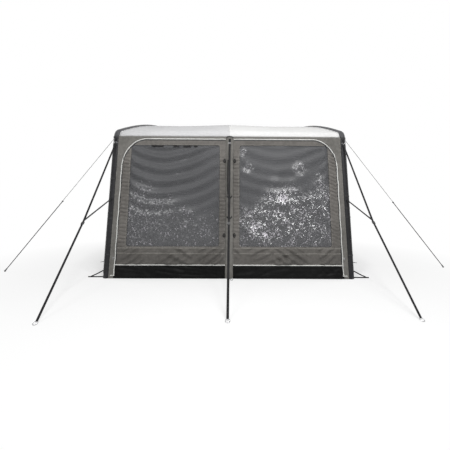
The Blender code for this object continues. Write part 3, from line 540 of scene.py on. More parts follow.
# The black sleeve's grey copy for the outer elbows: painted highlight where light falls on their tops.
DOME_HIGHLIGHT_CLOTH = cloth_finish("elbow_painted_highlight", (0.034, 0.034, 0.037), (0.060, 0.060, 0.064), 0.6, sheen=0.03)
BAND_CLOTH = cloth_finish("mud_band_black", (0.003, 0.003, 0.003), (0.008, 0.008, 0.008), 0.5, sheen=0.0, gloss=0.06)
PIPING_CLOTH = cloth_finish("piping_pale", (0.40, 0.40, 0.385), (0.56, 0.56, 0.54), 0.65, thread=0.0006)
BLIND_CLOTH = cloth_finish("blind_grey", (0.060, 0.060, 0.063), (0.150, 0.150, 0.154), 0.7, cloud=5.0)
PAD_CLOTH = cloth_finish("pad_grey", (0.07, 0.07, 0.07), (0.12, 0.12, 0.12), 0.8, on="Object")
WEBBING_CLOTH = cloth_finish(
    "webbing_black", (0.006, 0.006, 0.007), (0.014, 0.014, 0.015), 0.7, 0.0018, 0.9, sheen=0.0, cloud=8.0, gloss=0.15
)
TAPE_CLOTH = cloth_finish("tape_dark", (0.018, 0.018, 0.019), (0.036, 0.036, 0.037), 0.7, thread=0.0007, sheen=0.0)
SEAM_CLOTH = cloth_finish("seam_taupe", (0.125, 0.120, 0.108), (0.185, 0.178, 0.162), 0.8, sheen=0.0)
CLEAR_PANE = window_finish("window_clear")
BLADDER = moulded_finish("bladder_clear", (0.55, 0.58, 0.62), 0.35)
BEAD = moulded_finish("bead_white", (0.78, 0.78, 0.78), 0.45)
PLASTIC = moulded_finish("plastic_black", (0.022, 0.022, 0.023), 0.38)
STEEL = moulded_finish("ring_steel", (0.34, 0.34, 0.35), 0.34, grain=400.0, strength=0.08, metallic=1.0)
ZIP_METAL = moulded_finish("zip_metal", (0.30, 0.30, 0.31), 0.35, metallic=1.0)
THREAD = moulded_finish("thread_grey", (0.26, 0.25, 0.23), 0.7)
TEETH = moulded_finish("zip_teeth", (0.03, 0.03, 0.03), 0.4)
LINE_ROPE = cloth_finish(
    "guyline_black", (0.008, 0.008, 0.009), (0.022, 0.022, 0.024), 0.8, 0.0014, 1.0, sheen=0.0, cloud=20.0, gloss=0.1
)


# Camera, and the cords, which come first


def set_camera():
    """The camera, fitted to the photo's view."""
    data = bpy.data.cameras.new("camera")
    data.sensor_width = 36
    data.lens = 22.70
    data.shift_x = -0.0191
    data.shift_y = -0.0898
    camera = link(bpy.data.objects.new("camera", data))
    camera.location = (0.0313, -4.955, 1.2305)
    pan, level, roll = (Matrix.Rotation(turn, 4, axis) for turn, axis in ((-0.0062, "Z"), (pi / 2, "X"), (0.0053, "Z")))
    camera.rotation_euler = (pan @ level @ roll).to_euler()
    bpy.context.scene.camera = camera


set_camera()


def leg_reach(height):
    """How far a leg is from the middle at a height."""
    return LEG_WIDTH / 2 - tan(FLARE) * min(height, EAVE_HEIGHT)


def leg_point(side, height):
    return Vector((side * leg_reach(height), FEET + tan(LEAN) * height, height))


def front_point(side, height, level):
    """A point in front of a leg's centre line, level away from it along the front wall's normal."""
    return leg_point(side, height) + Vector(WALL_OUT) * level


def strap_across(along):
    return along.cross(Vector((0, 0, 1))).normalized()


STORM_ROUTES = {
    "left": ((-1.62, 0.57, 0.82), (-1.68, 1.26)),
    "centre": ((0.0, 0.53, 0.82), (0.0, 1.21)),
    "right": ((1.655, 0.485, 0.83), (1.77, 1.18)),
}
RING_RADIUS = 0.0205
RING_WIRE = 0.0028
RING_TILT = radians(24)
RING_BAR = 0.014
RING_RISE = (RING_RADIUS**2 - RING_BAR**2) ** 0.5
D_RING_HEIGHT = 1.80
D_RING_RADIUS = 0.017
D_RING_WIRE = 0.0022
BRACE_TOP = 1.03
BRACE_GAP = 0.0044  # from the join to the end of the brace strap


def ring_slope(along):
    return Vector((along.x, along.y, 0)).normalized() * cos(RING_TILT) + Vector((0, 0, sin(RING_TILT)))


StormPlaces = namedtuple("StormPlaces", "top join end pivot brace hook")


def storm_places(name):
    """A storm strap's top end, join, lower end and ring pivot, its brace's start and its D-ring."""
    side = BEAMS[name]
    lift = SKIN + (0 if side else FABRIC + SEAT)
    hook = front_point(side, D_RING_HEIGHT, lift + D_RING_WIRE)
    top = front_point(side, D_RING_HEIGHT - D_RING_RADIUS - D_RING_WIRE - SEAT, lift + D_RING_WIRE)
    brace = front_point(side, BRACE_TOP, lift + 0.001)
    (across, forward, height), (ring_across, ring_forward) = STORM_ROUTES[name]
    join = Vector((across, FEET - forward, height))
    ring = Vector((ring_across, FEET - ring_forward, RING_RADIUS * sin(RING_TILT) + RING_WIRE))
    pivot = ring + ring_slope(join - ring) * RING_RISE
    end = pivot + (join - pivot).normalized() * (RING_WIRE + SEAT)
    return StormPlaces(top, join, end, pivot, brace, hook)


def webbing(name, points, width=WEBBING_WIDTH, thickness=0.0016):
    """Flat woven webbing with thicker edges along a path, as wide as it can be across the awning, and its path."""
    line = soft_line(points, 0.03)
    levels = ((-1, 0), (-0.96, 0.62), (-0.86, 0.5), (0, 0.45), (0.86, 0.5), (0.96, 0.62), (1, 0))
    under = [(share * width / 2, -level * thickness) for share, level in levels]
    over = [(across, -level) for across, level in reversed(under[1:-1])]
    return swept(name, line, under + over, WEBBING_CLOTH, frame_of=along_frames(line)), line


def lay_storm_strap(name):
    """A storm strap from its leg to its ring, and the brace strap that joins it."""
    at = storm_places(name)
    strap, line = webbing(f"storm_webbing_{name}", [at.top, at.join, at.end])
    belongs(strap, "awning", "strap_black", f"storm_strap_{name}")
    meet = at.join + (at.brace - at.join).normalized() * BRACE_GAP
    tie, tie_line = webbing(f"brace_webbing_{name}", [at.brace, meet])
    belongs(tie, "awning", "strap_black", f"brace_strap_{name}")


LINE_ENDS = {"left": (3.12, 0.22), "right": (3.21, 0.49)}
LINE_TOP = 1.858
LINE_RADIUS = 0.0025
LINE_FOLD = 0.0065
HOOK_LENGTH = 0.052
HOOK_WIDTH = 0.024
HOOK_EYE = 0.0062
HOOK_THICKNESS = 0.006
RUNNER_SHARE = 0.52


def line_plane(name):
    """A guyline's plane: its peg, the ways along, beside and out of it, its length, its turn and its runner."""
    side = SIDES[name]
    out, behind = LINE_ENDS[name]
    eye = Vector((side * out, FEET + behind, HOOK_WIDTH / 2 + SEAT))
    beside = EAVE_WIDTH / 2 + BEAM_RADIUS + LINE_RADIUS + 0.0001
    top = Vector((side * beside, FEET + EAVE_SETBACK, LINE_TOP))
    aside = (top - eye).cross(Vector((0, 1, 0))).normalized()
    up = (top - (top - eye).normalized().cross(aside) * LINE_FOLD - eye).normalized()
    out_of = up.cross(aside).normalized()
    turn = HOOK_LENGTH - HOOK_WIDTH / 2 - 0.0008
    length = (top - eye).dot(up)
    return eye, up, aside, out_of, length, turn, turn + (length - turn) * RUNNER_SHARE


def lay_guyline(name):
    """A guyline from the eave, through its hook and back up to its runner."""
    eye, up, aside, out_of, length, turn, runner = line_plane(name)
    flat_line = [(length, LINE_FOLD)]
    for angle in evenly(0, pi, 12):
        flat_line.append((turn - LINE_FOLD * sin(angle), LINE_FOLD * cos(angle)))
    flat_line.append((runner + 0.009, -LINE_FOLD))
    points = [eye + up * a + out_of * b for a, b in flat_line]
    line = soft_line(points[:2], 0.05) + points[2:-2] + soft_line(points[-2:], 0.05)
    rope = round_bar(f"guyline_cord_{name}", line, LINE_RADIUS, LINE_ROPE, sides=10, up=aside)
    belongs(rope, "awning", "line_black", f"guyline_{name}")


for beam in BEAMS:
    lay_storm_strap(beam)
for wing in SIDES:
    lay_guyline(wing)

PEG_WEBBING = 0.015
PEG_STRAP = 0.17

peg_start = Vector((0, FEET - SKIN / cos(LEAN), SEAT + 0.0015))
peg_end = peg_start - Vector((0, PEG_STRAP, 0))
peg_strap, peg_line = webbing("centre_peg_webbing", [peg_start, peg_end], PEG_WEBBING, 0.0026)
belongs(peg_strap, "awning", "strap_black", "centre_peg_strap")


# Front wall

WALL_FOOT = -1.255638  # how far forward the back of the cloth would reach the ground


def wall_point(across, up, level=0.0):
    """A point of the front wall from its flat measures; level 0 is the back of the cloth."""
    return Vector((across, WALL_FOOT + up * sin(LEAN) - level * cos(LEAN), up * cos(LEAN) + level * sin(LEAN)))


def strip_side(height):
    return leg_reach(height) - 0.035


def panel_side(height):
    return PANEL_SIDE - PANEL_TAPER * height / PANEL_CORNER["up"]


def panel_edge(inset, foot, steps=24):
    """A front panel's outer side and top, from its foot up and in to the middle of the wall."""
    outline = [(panel_side(foot) - inset, foot)]
    width, height = PANEL_CORNER["width"] - inset, PANEL_CORNER["height"] - inset
    for angle in evenly(0, pi / 2, steps):
        outline.append((PANEL_CORNER["across"] + width * cos(angle), PANEL_CORNER["up"] + height * sin(angle)))
    return outline


def mirrored(outline, side):
    return [(side * across, up) for across, up in outline]


def window_corners(grow):
    return [
        (WINDOW["inner"] - grow, WINDOW["foot"] - grow),
        (WINDOW["outer_foot"] + grow, WINDOW["foot"] - grow),
        (WINDOW["outer_top"] + grow, WINDOW["top"] + grow),
        (WINDOW["inner"] - grow, WINDOW["top"] + grow),
    ]


def window_share(height):
    return (height - WINDOW["foot"]) / (WINDOW["top"] - WINDOW["foot"])


def window_outer(height):
    return WINDOW["outer_foot"] + (WINDOW["outer_top"] - WINDOW["outer_foot"]) * window_share(height)


def window_wide(reach, height):
    """How far across a window a point is, from 0 at its inner side to 1 at its outer side."""
    return (reach - WINDOW["inner"]) / (window_outer(height) - WINDOW["inner"])


def creases(across, up, angle, length, width, seed):
    """Long soft folds that run at an angle, each about length long and width wide, with sharp valleys."""
    along = across * cos(angle) + up * sin(angle)
    beside = up * cos(angle) - across * sin(angle)
    return abs(noise.noise(Vector((along / length, beside / width, seed))))


def pleats(across, up, angle, width, seed):
    """Drags in a cloth at an angle, side by side, that come and go."""
    beside = up * cos(angle) - across * sin(angle)
    come = smoothstep(-0.15, 0.35, ripple(across, up, 0.32, seed + 0.5))
    return (1 + sin(2 * pi * beside / width + 3.5 * ripple(across, up, 0.45, seed))) * come


BAND_FOLD = 0.018
PUCKER = 0.0155
PUCKER_PITCH = 0.050


def band_relief(across, up):
    """The slack of a front panel's mud band between its seams."""
    side = 1 if across > 0 else -1
    held = min(abs(across) - PANEL_HINGE, panel_side(up) - abs(across), 0.06)
    free = smoothstep(0.0, 0.03, up) * (1 - smoothstep(BAND_TOP - 0.02, BAND_TOP, up)) * smoothstep(0.012, 0.05, held)
    fold = creases(across, up, 0.10 * side, 0.7, 0.06, 2.0 + side) + creases(across, up, 0.5 * side, 0.4, 0.08, 4.0)
    return BAND_FOLD * fold * free


def front_relief(across, up):
    """How far the front stands out, over the panels and over their mud bands."""
    return wall_relief(across, up) if up > BAND_TOP else max(band_relief(across, up), wall_relief(across, up))


def wall_relief(across, up):
    """How far the front cloth stands out: slow hollows, and the puckers and drags that its seams pull into it."""
    side = 1 if across > 0 else -1
    reach = abs(across)
    rim = panel_side(up)
    free = smoothstep(0.055, 0.10, reach) * (1 - smoothstep(rim - 0.06, rim - 0.02, reach)) * smoothstep(0.0, 0.15, up)
    level = 0.0030 * (1 + ripple(across, up, 0.4, 3.0)) * free
    inner = smoothstep(0.052, 0.070, reach) * (1 - smoothstep(0.122, 0.138, reach))
    outer = smoothstep(window_outer(up) - 0.004, window_outer(up) + 0.016, reach)
    outer *= 1 - smoothstep(rim - 0.045, rim - 0.02, reach)
    tall = smoothstep(0.34, 0.46, up) * (1 - smoothstep(1.62, 1.74, up))
    slant = 0.45 if side > 0 else -0.1
    bunch = 0.35 + 0.65 * smoothstep(-0.35, 0.3, ripple(across * 0.3, up, 0.16, 11.0 * side))
    beat = up + slant * (reach - 1.36) * outer + 0.012 * ripple(across, up, 0.09, 7.0)
    pucker = abs(sin(pi * beat / PUCKER_PITCH))
    level += PUCKER * bunch * pucker * (0.8 * inner + outer) * tall
    low = smoothstep(0.180, 0.20, up) * (1 - smoothstep(0.385, 0.425, up))
    fall = pleats(across, up, -0.62 * side, 0.085, 5.0)
    rise = pleats(across, up, 0.50 * side, 0.100, 6.0)
    level += PUCKER * (fall + rise) * low * free
    head = smoothstep(1.785, 1.80, up)
    level += 0.006 * creases(across, up, 1.2, 0.2, 0.07, 8.0) * head * free
    corner = smoothstep(1.30, 1.40, reach) * smoothstep(1.25, 1.5, up)
    level += 0.006 * creases(across, up, 0.9 * side, 0.22, 0.05, 9.0) * corner * free
    return level


def on_wall(across, up):
    return wall_point(across, up, wall_relief(across, up))


def sew_surround():
    """The cloth round both front panels: header, sides and the strip between them."""
    seam = (ROOF_SEAM - SEAT) / cos(LEAN)
    half = [(strip_side(seam * cos(LEAN)), seam), (strip_side(0), GROUND_GAP)]
    half += panel_edge(0, GROUND_GAP) + [(STRIP_SIDE, PANEL_TOP), (STRIP_SIDE, GROUND_GAP)]
    outline = half + list(reversed(mirrored(half, -1)))
    piece = cloth("front_surround_cloth", [outline], on_wall, SURROUND_CLOTH, pitch=0.02, pitch_up=0.012)
    belongs(piece, "awning", "wall_taupe", "front_surround")


def sew_panel(name):
    """A front panel with its window cut out, and the mud band below it."""
    side = SIDES[name]
    body = f"front_leaf_{name}"
    foot, top = BAND_TOP + SEAT, PANEL_TOP - LEAF_GAP
    edge = panel_edge(LEAF_GAP, foot) + [(PANEL_HINGE, top), (PANEL_HINGE, foot)]
    cut = [mirrored(edge, side), mirrored(rounded(window_corners(0), WINDOW["corner"]), side)]
    piece = cloth(f"panel_cloth_{name}", cut, on_wall, WALL_CLOTH, 0.014, pitch_up=0.0058)
    belongs(piece, body, "wall_taupe", f"front_panel_{name}")

    outer = [(panel_side(height) - LEAF_GAP, height) for height in (GROUND_GAP, BAND_TOP)]
    band = [(PANEL_HINGE, GROUND_GAP), *outer, (PANEL_HINGE, BAND_TOP)]

    def creased(across, up):
        return wall_point(across, up, band_relief(across, up))

    band_piece = cloth(f"mud_band_{name}", [mirrored(band, side)], creased, BAND_CLOTH, 0.025, pitch_up=0.008)
    belongs(band_piece, body, "band_black", f"front_mud_band_{name}")


def pane_relief(side, across, up):
    """The crumple of a clear window: smooth swags high up, sharp creases low down, and still at its seam."""
    reach = abs(across)
    edge = min(reach - WINDOW["inner"], window_outer(up) - reach, up - WINDOW["foot"], WINDOW["top"] - up)
    free = smoothstep(0.0, 0.04, edge)
    share, wide = window_share(up), window_wide(reach, up)
    hang = 0.24 * (1 - ((wide - (0.62 if side < 0 else 0.45)) / 0.6) ** 2)
    swag = sin(2 * pi * (up + hang) / 0.165 + 1.8 * ripple(across, up, 0.6, 1.0 + side))
    high = smoothstep(0.22, 0.52, share)
    deep = 0.0105 if side < 0 else 0.0040
    level = deep * swag * high * (0.6 + 0.5 * ripple(across, up, 0.45, 13.0 * side))
    crumple = crumpled(side, across, up)
    sharp = abs(ripple(across, up, 0.060, 21.0)) + 0.55 * abs(ripple(across, up, 0.030, 22.0))
    level += (0.0020 * sharp + 0.0035 * ripple(across, up, 0.16, 23.0 * side)) * crumple
    if side > 0:
        level += 0.013 * exp(-(((reach - 0.755) / 0.17) ** 2) - ((up - 0.985) / 0.085) ** 2)
        beside = (up - 0.73) + 0.74 * (reach - 0.20)
        level += 0.012 * exp(-(((beside + 0.07) / 0.07) ** 2)) * (1 - smoothstep(0.50, 0.75, reach))
        drawn = smoothstep(0.7, 1.0, wide) * smoothstep(0.2, 0.4, share)
        level += 0.006 * creases(across, up, 0.62, 0.9, 0.10, 24.0) * drawn
    return -0.0014 + level * free - 0.0008 * (1 - free)


CRUMPLED_SPOTS = {-1: (), 1: ((0.18, 1.68, 0.07), (0.25, 1.46, 0.10), (0.94, 1.46, 0.13), (1.22, 1.36, 0.06))}


def crumpled(side, across, up):
    """How crumpled a window is at a point: low down, most on its outer side, and at some spots higher up."""
    reach = abs(across)
    share, wide = window_share(up), window_wide(reach, up)
    limit = 0.26 + 0.32 * wide if side < 0 else 0.36 + 0.24 * smoothstep(0.1, 0.4, wide)
    low = 1 - smoothstep(limit - 0.12, limit + 0.14, share + 0.14 * ripple(across, up, 0.22, 17.0 * side))
    for place, height, radius in CRUMPLED_SPOTS[side]:
        gap = ((reach - place) ** 2 + (up - height) ** 2) ** 0.5
        low = max(low, 0.62 * (1 - smoothstep(radius * 0.5, radius, gap + 0.04 * ripple(across, up, 0.07, 18.0))))
    return low


def glint_share(side, across, up):
    """How much painted glint a window's colour takes in its creases: most at a bright patch and along one long crease.
    """
    reach = abs(across)
    amount = 0.20 if side < 0 else 0.32
    if side > 0:
        amount += 0.6 * exp(-(((reach - 0.74) / 0.13) ** 2) - ((up - 1.06) / 0.075) ** 2)
        beside = (up - 0.757) + 0.80 * (reach - 0.207)
        amount += 0.4 * exp(-((beside / 0.07) ** 2)) * (1 - smoothstep(0.52, 0.68, reach))
    patch = smoothstep(-0.30, 0.30, ripple(across, up, 0.13, 51.0 * side))
    low = smoothstep(0.0, 0.8, crumpled(side, across, up)) ** 2
    return low * amount * (0.25 + 0.75 * patch)


def mark(pane, name, amount):
    """Keeps a measure of a window point by point, for its finish to read."""
    kept = pane.data.attributes.new(name, "FLOAT", "POINT")
    kept.data.foreach_set("value", [amount(vertex.co) for vertex in pane.data.vertices])


WINDOW_TABS = {"left": ((0.90, 1.06), (0.69, 0.77), (0.53, 0.63), (0.44, 0.485)), "right": ()}
TAB_HEIGHT = 1.757


def sew_window_tabs(name):
    """Black tabs sewn over a window's head, where its blind hangs from them."""
    for index, (start, end) in enumerate(WINDOW_TABS[name]):
        ends = [wall_point(SIDES[name] * across, TAB_HEIGHT, 0.0042) for across in (start, (start + end) / 2, end)]
        tab_name = f"window_tab_{name}_{index + 1}"
        tab = swept(tab_name, ends, strip(0.019, 0.0016), WEBBING_CLOTH, frame_of=along_frames(ends, WALL_OUT))
        belongs(tab, f"front_leaf_{name}", "strap_black")


def fit_window(name):
    """A front panel's clear window, and the blind that hangs in swags behind it."""
    side = SIDES[name]
    body = f"front_leaf_{name}"
    outline = mirrored(rounded(window_corners(0.012), 0.042), side)

    def on_pane(across, up):
        return wall_point(across, up, pane_relief(side, across, up))

    pane = cloth(f"window_pane_{name}", [outline], on_pane, CLEAR_PANE, 0.0078, CLEAR_SHEET, 0.0)
    gloss = 0.62 if side < 0 else 0.84
    mark(pane, "crumple", lambda spot: gloss * crumpled(side, spot.x, spot.z / cos(LEAN)))
    # The share of painted glints, kept for the finish to read.
    mark(pane, "painted_glint", lambda spot: glint_share(side, spot.x, spot.z / cos(LEAN)))
    belongs(pane, body, "window_clear", f"front_window_{name}")

    low, tall = WINDOW["foot"] - 0.02, WINDOW["top"] + 0.03 - WINDOW["foot"] + 0.02
    left, width = WINDOW["inner"] - 0.02, WINDOW["outer_foot"] + 0.04 - WINDOW["inner"]

    def on_blind(across, up):
        wide = (abs(across) - left) / width
        share = (up - low) / tall
        hang = 0.12 * (1 - (2 * wide - 1) ** 2)
        wave = abs(sin(pi * 7 * (share + hang / tall) + 0.9 * ripple(across, up, 0.4, 31.0 * side)))
        slack = min(3 * sin(pi * min(share / 0.98, 1)), 1)
        level = -0.026 + (0.017 if side < 0 else 0.012) * wave * slack
        top = smoothstep(0.97, 1.0, share)
        return wall_point(across, up, level * (1 - top) - 0.003 * top)

    outline = [(left, low), (left + width, low), (left + width, low + tall), (left, low + tall)]
    curtain = cloth(f"blind_cloth_{name}", [mirrored(outline, side)], on_blind, BLIND_CLOTH, 0.03, 0.0012, 0.0, 0.010)
    sew_window_tabs(name)
    belongs(curtain, body, "blind_grey", f"window_blind_{name}")


PIPING_FOOT = 0.048


def piping_path(side):
    """The line of the piping round a panel: from the middle, over the top, down the outer side to its toe."""
    path = [(across, PANEL_TOP - PIPING_INSET) for across in evenly(PANEL_HINGE, PANEL_CORNER["across"], 60)]
    path += list(reversed(panel_edge(PIPING_INSET, PIPING_FOOT, 30)))[1:-1]
    for height in evenly(PANEL_CORNER["up"], PIPING_FOOT, 60)[1:]:
        path.append((panel_side(height) - PIPING_INSET + 0.0022 * sin(height * 21 + side), height))
    return mirrored(path, side)


def sew_piping(name):
    """The piping round a panel, along the top of its mud band and across its toe."""
    side = SIDES[name]
    profile = [(0.0062 * cos(a), max(0.0030 * sin(a), -0.0022) + 0.0022) for a in [2 * pi * s / 12 for s in range(12)]]
    runs = {"edge": [wall_point(a, u, front_relief(a, u) + 0.0026) for a, u in piping_path(side)], "bar": []}
    for reach in evenly(PANEL_HINGE, panel_side(BAND_TOP) - 0.02, 70):
        across = side * reach
        up = BAND_TOP + 0.0012 * ripple(across, 0, 0.2, 41.0)
        runs["bar"].append(wall_point(across, up, wall_relief(across, up) + 0.0030))
    toe, start = 0.041, panel_side(0.04) - 0.019
    reaches = [side * reach for reach in evenly(start, start + 0.057, 6)]
    runs["toe"] = [wall_point(across, toe, front_relief(across, toe) + 0.003) for across in reaches]
    for part, points in runs.items():
        frames = along_frames(points, WALL_OUT)
        piece = swept(f"piping_{part}_{name}", points, profile, PIPING_CLOTH, frame_of=frames)
        belongs(piece, f"front_leaf_{name}", "piping_pale", *([f"piping_{name}"] if part == "edge" else []))


def sew_hinge_tape(name):
    """A cloth tape behind the side where a panel is sewn on."""
    side = SIDES[name]
    outline = [(0.030, 0.01), (0.075, 0.01), (0.075, PANEL_TOP - 0.002), (0.030, PANEL_TOP - 0.002)]

    def on_back(across, up):
        return wall_point(across, up, -0.0012)

    behind = cloth(f"hinge_tape_{name}", [mirrored(outline, side)], on_back, SURROUND_CLOTH, 0.03, 0.0006, -1.0, 0.06)
    belongs(behind, "awning", "wall_taupe")


sew_surround()
for wing in SIDES:
    sew_hinge_tape(wing)
    sew_panel(wing)
    fit_window(wing)
    sew_piping(wing)


# Beams, roof and walls


def bend_corner(line, index, radius, steps):
    """A line in a plane, with one of its corners replaced by an arc."""
    arc = arc_round(*line[index - 1 : index + 2], radius, steps)
    return line[:index] + arc + line[index + 1 :]


def sideways(line, distance):
    """A line in a plane, moved to its left, with mitred corners."""
    moved = []
    for index, point in enumerate(line):
        steps = [line[index] - line[index - 1]] if index else []
        steps += [line[index + 1] - line[index]] if index + 1 < len(line) else []
        normals = [Vector((-step.y, step.x)).normalized() for step in steps]
        middle = sum(normals, Vector((0, 0))).normalized()
        moved.append(point + middle * distance / middle.dot(normals[0]))
    return moved


ROOF_END = BACK - 0.012
BEAM_END = ROOF_END - 0.012
SLEEVE_THICKNESS = 0.0016
BLADDER_RADIUS = BEAM_RADIUS - SLEEVE_THICKNESS - 0.0008
DOME_FOOT = 1.893  # the outer sleeves are painted grey above this, a painted highlight on their elbows


def bare_line(steps=40):
    """A beam's centre line in (y, z) with a sharp elbow: foot, elbow and the roof's crowned run."""
    elbow = Vector((FEET + EAVE_SETBACK, EAVE_HEIGHT))
    line = [Vector((FEET, 0)), elbow]
    for share in evenly(0, 1, steps)[1:]:
        rise = ROOF_RISE * share + 4 * ROOF_CROWN * share * (1 - share)
        line.append(elbow + Vector(((ROOF_END - elbow.x) * share, rise)))
    return line


def beam_rings(side, radius, foot, end, sides):
    """A beam's skin ring by ring, flat at its foot and at its end, and how far along each ring is."""
    line = bend_corner(bare_line(), 1, ELBOW_RADIUS, 14)
    run = [line[0].lerp(line[1], step / 60) for step in range(60)] + line[1:]
    rings, marks, passed = [], [], 0.0
    for index, point in enumerate(run):
        along = (run[min(index + 1, len(run) - 1)] - run[max(index - 1, 0)]).normalized()
        out = Vector((-along.y, along.x))
        ring = []
        for step in range(sides):
            turn = 2 * pi * step / sides
            give = 1 + 0.012 * ripple(3 * turn, passed, 0.9, side * 5.0) * smoothstep(0.1, 0.4, passed)
            spot = point + out * radius * give * sin(turn)
            if index == 0:
                spot = point + out * radius * sin(turn)
                spot -= along * (spot.y - foot) / along.y
            if index == len(run) - 1:
                spot -= along * (spot.x - end) / along.x
            ring.append(Vector((radius * give * cos(turn) + side * leg_reach(spot.y), spot.x, spot.y)))
        rings.append(ring)
        marks.append(passed)
        if index + 1 < len(run):
            passed += (run[index + 1] - point).length
    return rings, marks


def skin(name, rings, marks, radius, finish, closed_foot=False):
    """A tube through rings of points, with its girth and length as its UV map."""
    shape = bmesh.new()
    layer = shape.loops.layers.uv.new("UVMap")
    loops = [[shape.verts.new(point) for point in ring] for ring in rings]
    sides = len(rings[0])
    for index in range(len(rings) - 1):
        for step in range(sides):
            after = (step + 1) % sides
            here, there = loops[index], loops[index + 1]
            face = shape.faces.new((here[step], there[step], there[after], here[after]))
            spots = [(step, index), (step, index + 1), (step + 1, index + 1), (step + 1, index)]
            for loop, (turn, level) in zip(face.loops, spots):
                loop[layer].uv = (2 * pi * radius * turn / sides, marks[level])
    shape.faces.new(loops[-1])
    if closed_foot:
        shape.faces.new(loops[0])
    return mesh_piece(name, shape, finish)


def blow_up_beam(name):
    """An air beam: its sleeve, and its bladder inside."""
    side = BEAMS[name]
    rings, marks = beam_rings(side, BEAM_RADIUS, 0.0, BEAM_END, 36)
    sleeve = skin(f"sleeve_{name}", rings, marks, BEAM_RADIUS, SLEEVE_CLOTH)
    if side:
        # Faces above DOME_FOOT take the grey cloth: painted highlight on the elbow.
        sleeve.data.materials.append(DOME_HIGHLIGHT_CLOTH)
        for face in sleeve.data.polygons:
            if face.center.z > DOME_FOOT:
                face.material_index = 1
    thicken(sleeve, SLEEVE_THICKNESS, -1)
    belongs(sleeve, "awning", "sleeve_black", f"beam_sleeve_{name}")
    inner, marks = beam_rings(side, BLADDER_RADIUS, 0.002, BEAM_END - 0.002, 24)
    bladder = skin(f"bladder_{name}", inner, marks, BLADDER_RADIUS, BLADDER, closed_foot=True)
    belongs(bladder, "awning", "bladder_clear", f"air_bladder_{name}")


def roof_line():
    """The roof in (y, z) over the centre beam, from its seam at the front to its rear edge."""
    line = bend_corner(sideways(bare_line(), SKIN), 1, 0.10, 12)
    foot, start = line[:2]
    line[0] = foot.lerp(start, (ROOF_SEAM - foot.y) / (start.y - foot.y))
    return line


ROOF_BEND = 13  # the point of the roof line where the bend over the eave ends


def sew_roof():
    """One sheet over the centre beam, sewn to the outer beams, that sags a little between them."""
    line = roof_line()
    last = len(line) - 1
    edge = (EAVE_WIDTH / 2 + SKIN * cos(radians(150)), SKIN * sin(radians(150)))
    shape = gridded(2, last, 96, last)
    keep_flat(shape, edge[0], 0.06, middle=1.0)
    for vertex in shape.verts:
        across = vertex.co.x - 1
        row = round(vertex.co.y)
        along = (line[min(row + 1, last)] - line[max(row - 1, 0)]).normalized()
        back = min(row / ROOF_BEND, 1)
        lower = (SKIN - edge[1]) * abs(across) * back
        if row > ROOF_BEND:
            share = (row - ROOF_BEND) / (last - ROOF_BEND)
            lower += ROOF_SAG * sin(pi * share) * sin(pi * across) ** 2
        free = sin(pi * across) ** 2 * (0.3 + 0.7 * min(row / 8, 1)) * min((last - row) / 4, 1)
        crease = 1 + sin(2 * pi * across * 13 + 3 * ripple(across, row, 3.0, 2.0))
        lower += 0.0018 * crease * free * (1 if row < 22 else 0.4)
        point = line[row] - Vector((-along.y, along.x)) * lower
        vertex.co = (edge[0] * across, point.x, point.y)
    roof = mesh_piece("roof_cloth", shape, ROOF_SHADED_COPY, smooth=False, tidy=False)
    # The right half takes the paler copy as painted light, the left half the darker one as painted shade.
    roof.data.materials.append(ROOF_LIT_COPY)
    for face in roof.data.polygons:
        face.material_index = int(face.center.x > 0)
    roof.data.shade_smooth()
    thicken(roof, FABRIC, 1.0)
    belongs(roof, "awning", "roof_grey", "roof_canopy")
    return line, edge


for beam in BEAMS:
    blow_up_beam(beam)
ROOF_RUN, ROOF_SEWN = sew_roof()


# Side walls and doors

DOOR = {"front": 0.85, "back": 1.72, "foot": 0.20, "top": 1.86, "corner": 0.22}
SIDE_WINDOW = {"near": 0.98, "far": 1.59, "low": 0.78, "high": 1.66, "corner": 0.05}


def side_point(side, along, up, level=0.0):
    """A point of a side wall from its flat measures, behind the feet and up; level 0 is its middle."""
    out = LEG_WIDTH / 2 - up * sin(FLARE) + level * cos(FLARE)
    return Vector((side * out, FEET + along, up * cos(FLARE) + level * sin(FLARE)))


def side_relief(side, along, up):
    """The slack of a side wall, which its edges hold still."""
    free = smoothstep(0.12, 0.3, along) * (1 - smoothstep(2.25, 2.40, along)) * smoothstep(0.18, 0.3, up)
    outside = max(DOOR["front"] - along, along - DOOR["back"], DOOR["foot"] - up, up - DOOR["top"])
    doorway = smoothstep(0.0, 0.06, outside)
    slow = ripple(along, up, 0.35, 51.0 * side)
    drag = sin(2 * pi * (along * 0.7 + up * 0.55) / 0.13 + 4 * ripple(along, up, 0.4, 52.0 * side))
    return (0.004 * slow + 0.0014 * drag) * free * doorway


def door_outline(grow, far):
    """A side door's outline, grown by a little, from its foot at the front round to its hinge."""
    corners = [(DOOR["front"] - grow, DOOR["foot"] - grow), (far, DOOR["foot"] - grow)]
    corners += [(far, DOOR["top"] + grow), (DOOR["front"] - grow, DOOR["top"] + grow)]
    arcs = rounded(corners, DOOR["corner"] + grow, 10)
    return corners[:2] + arcs[2 * 11 :]


def door_window_outline(grow):
    near, far = SIDE_WINDOW["near"] - grow, SIDE_WINDOW["far"] + grow
    low, high = SIDE_WINDOW["low"] - grow, SIDE_WINDOW["high"] + grow
    return rounded([(near, low), (far, low), (far, high), (near, high)], SIDE_WINDOW["corner"] + grow, 5)


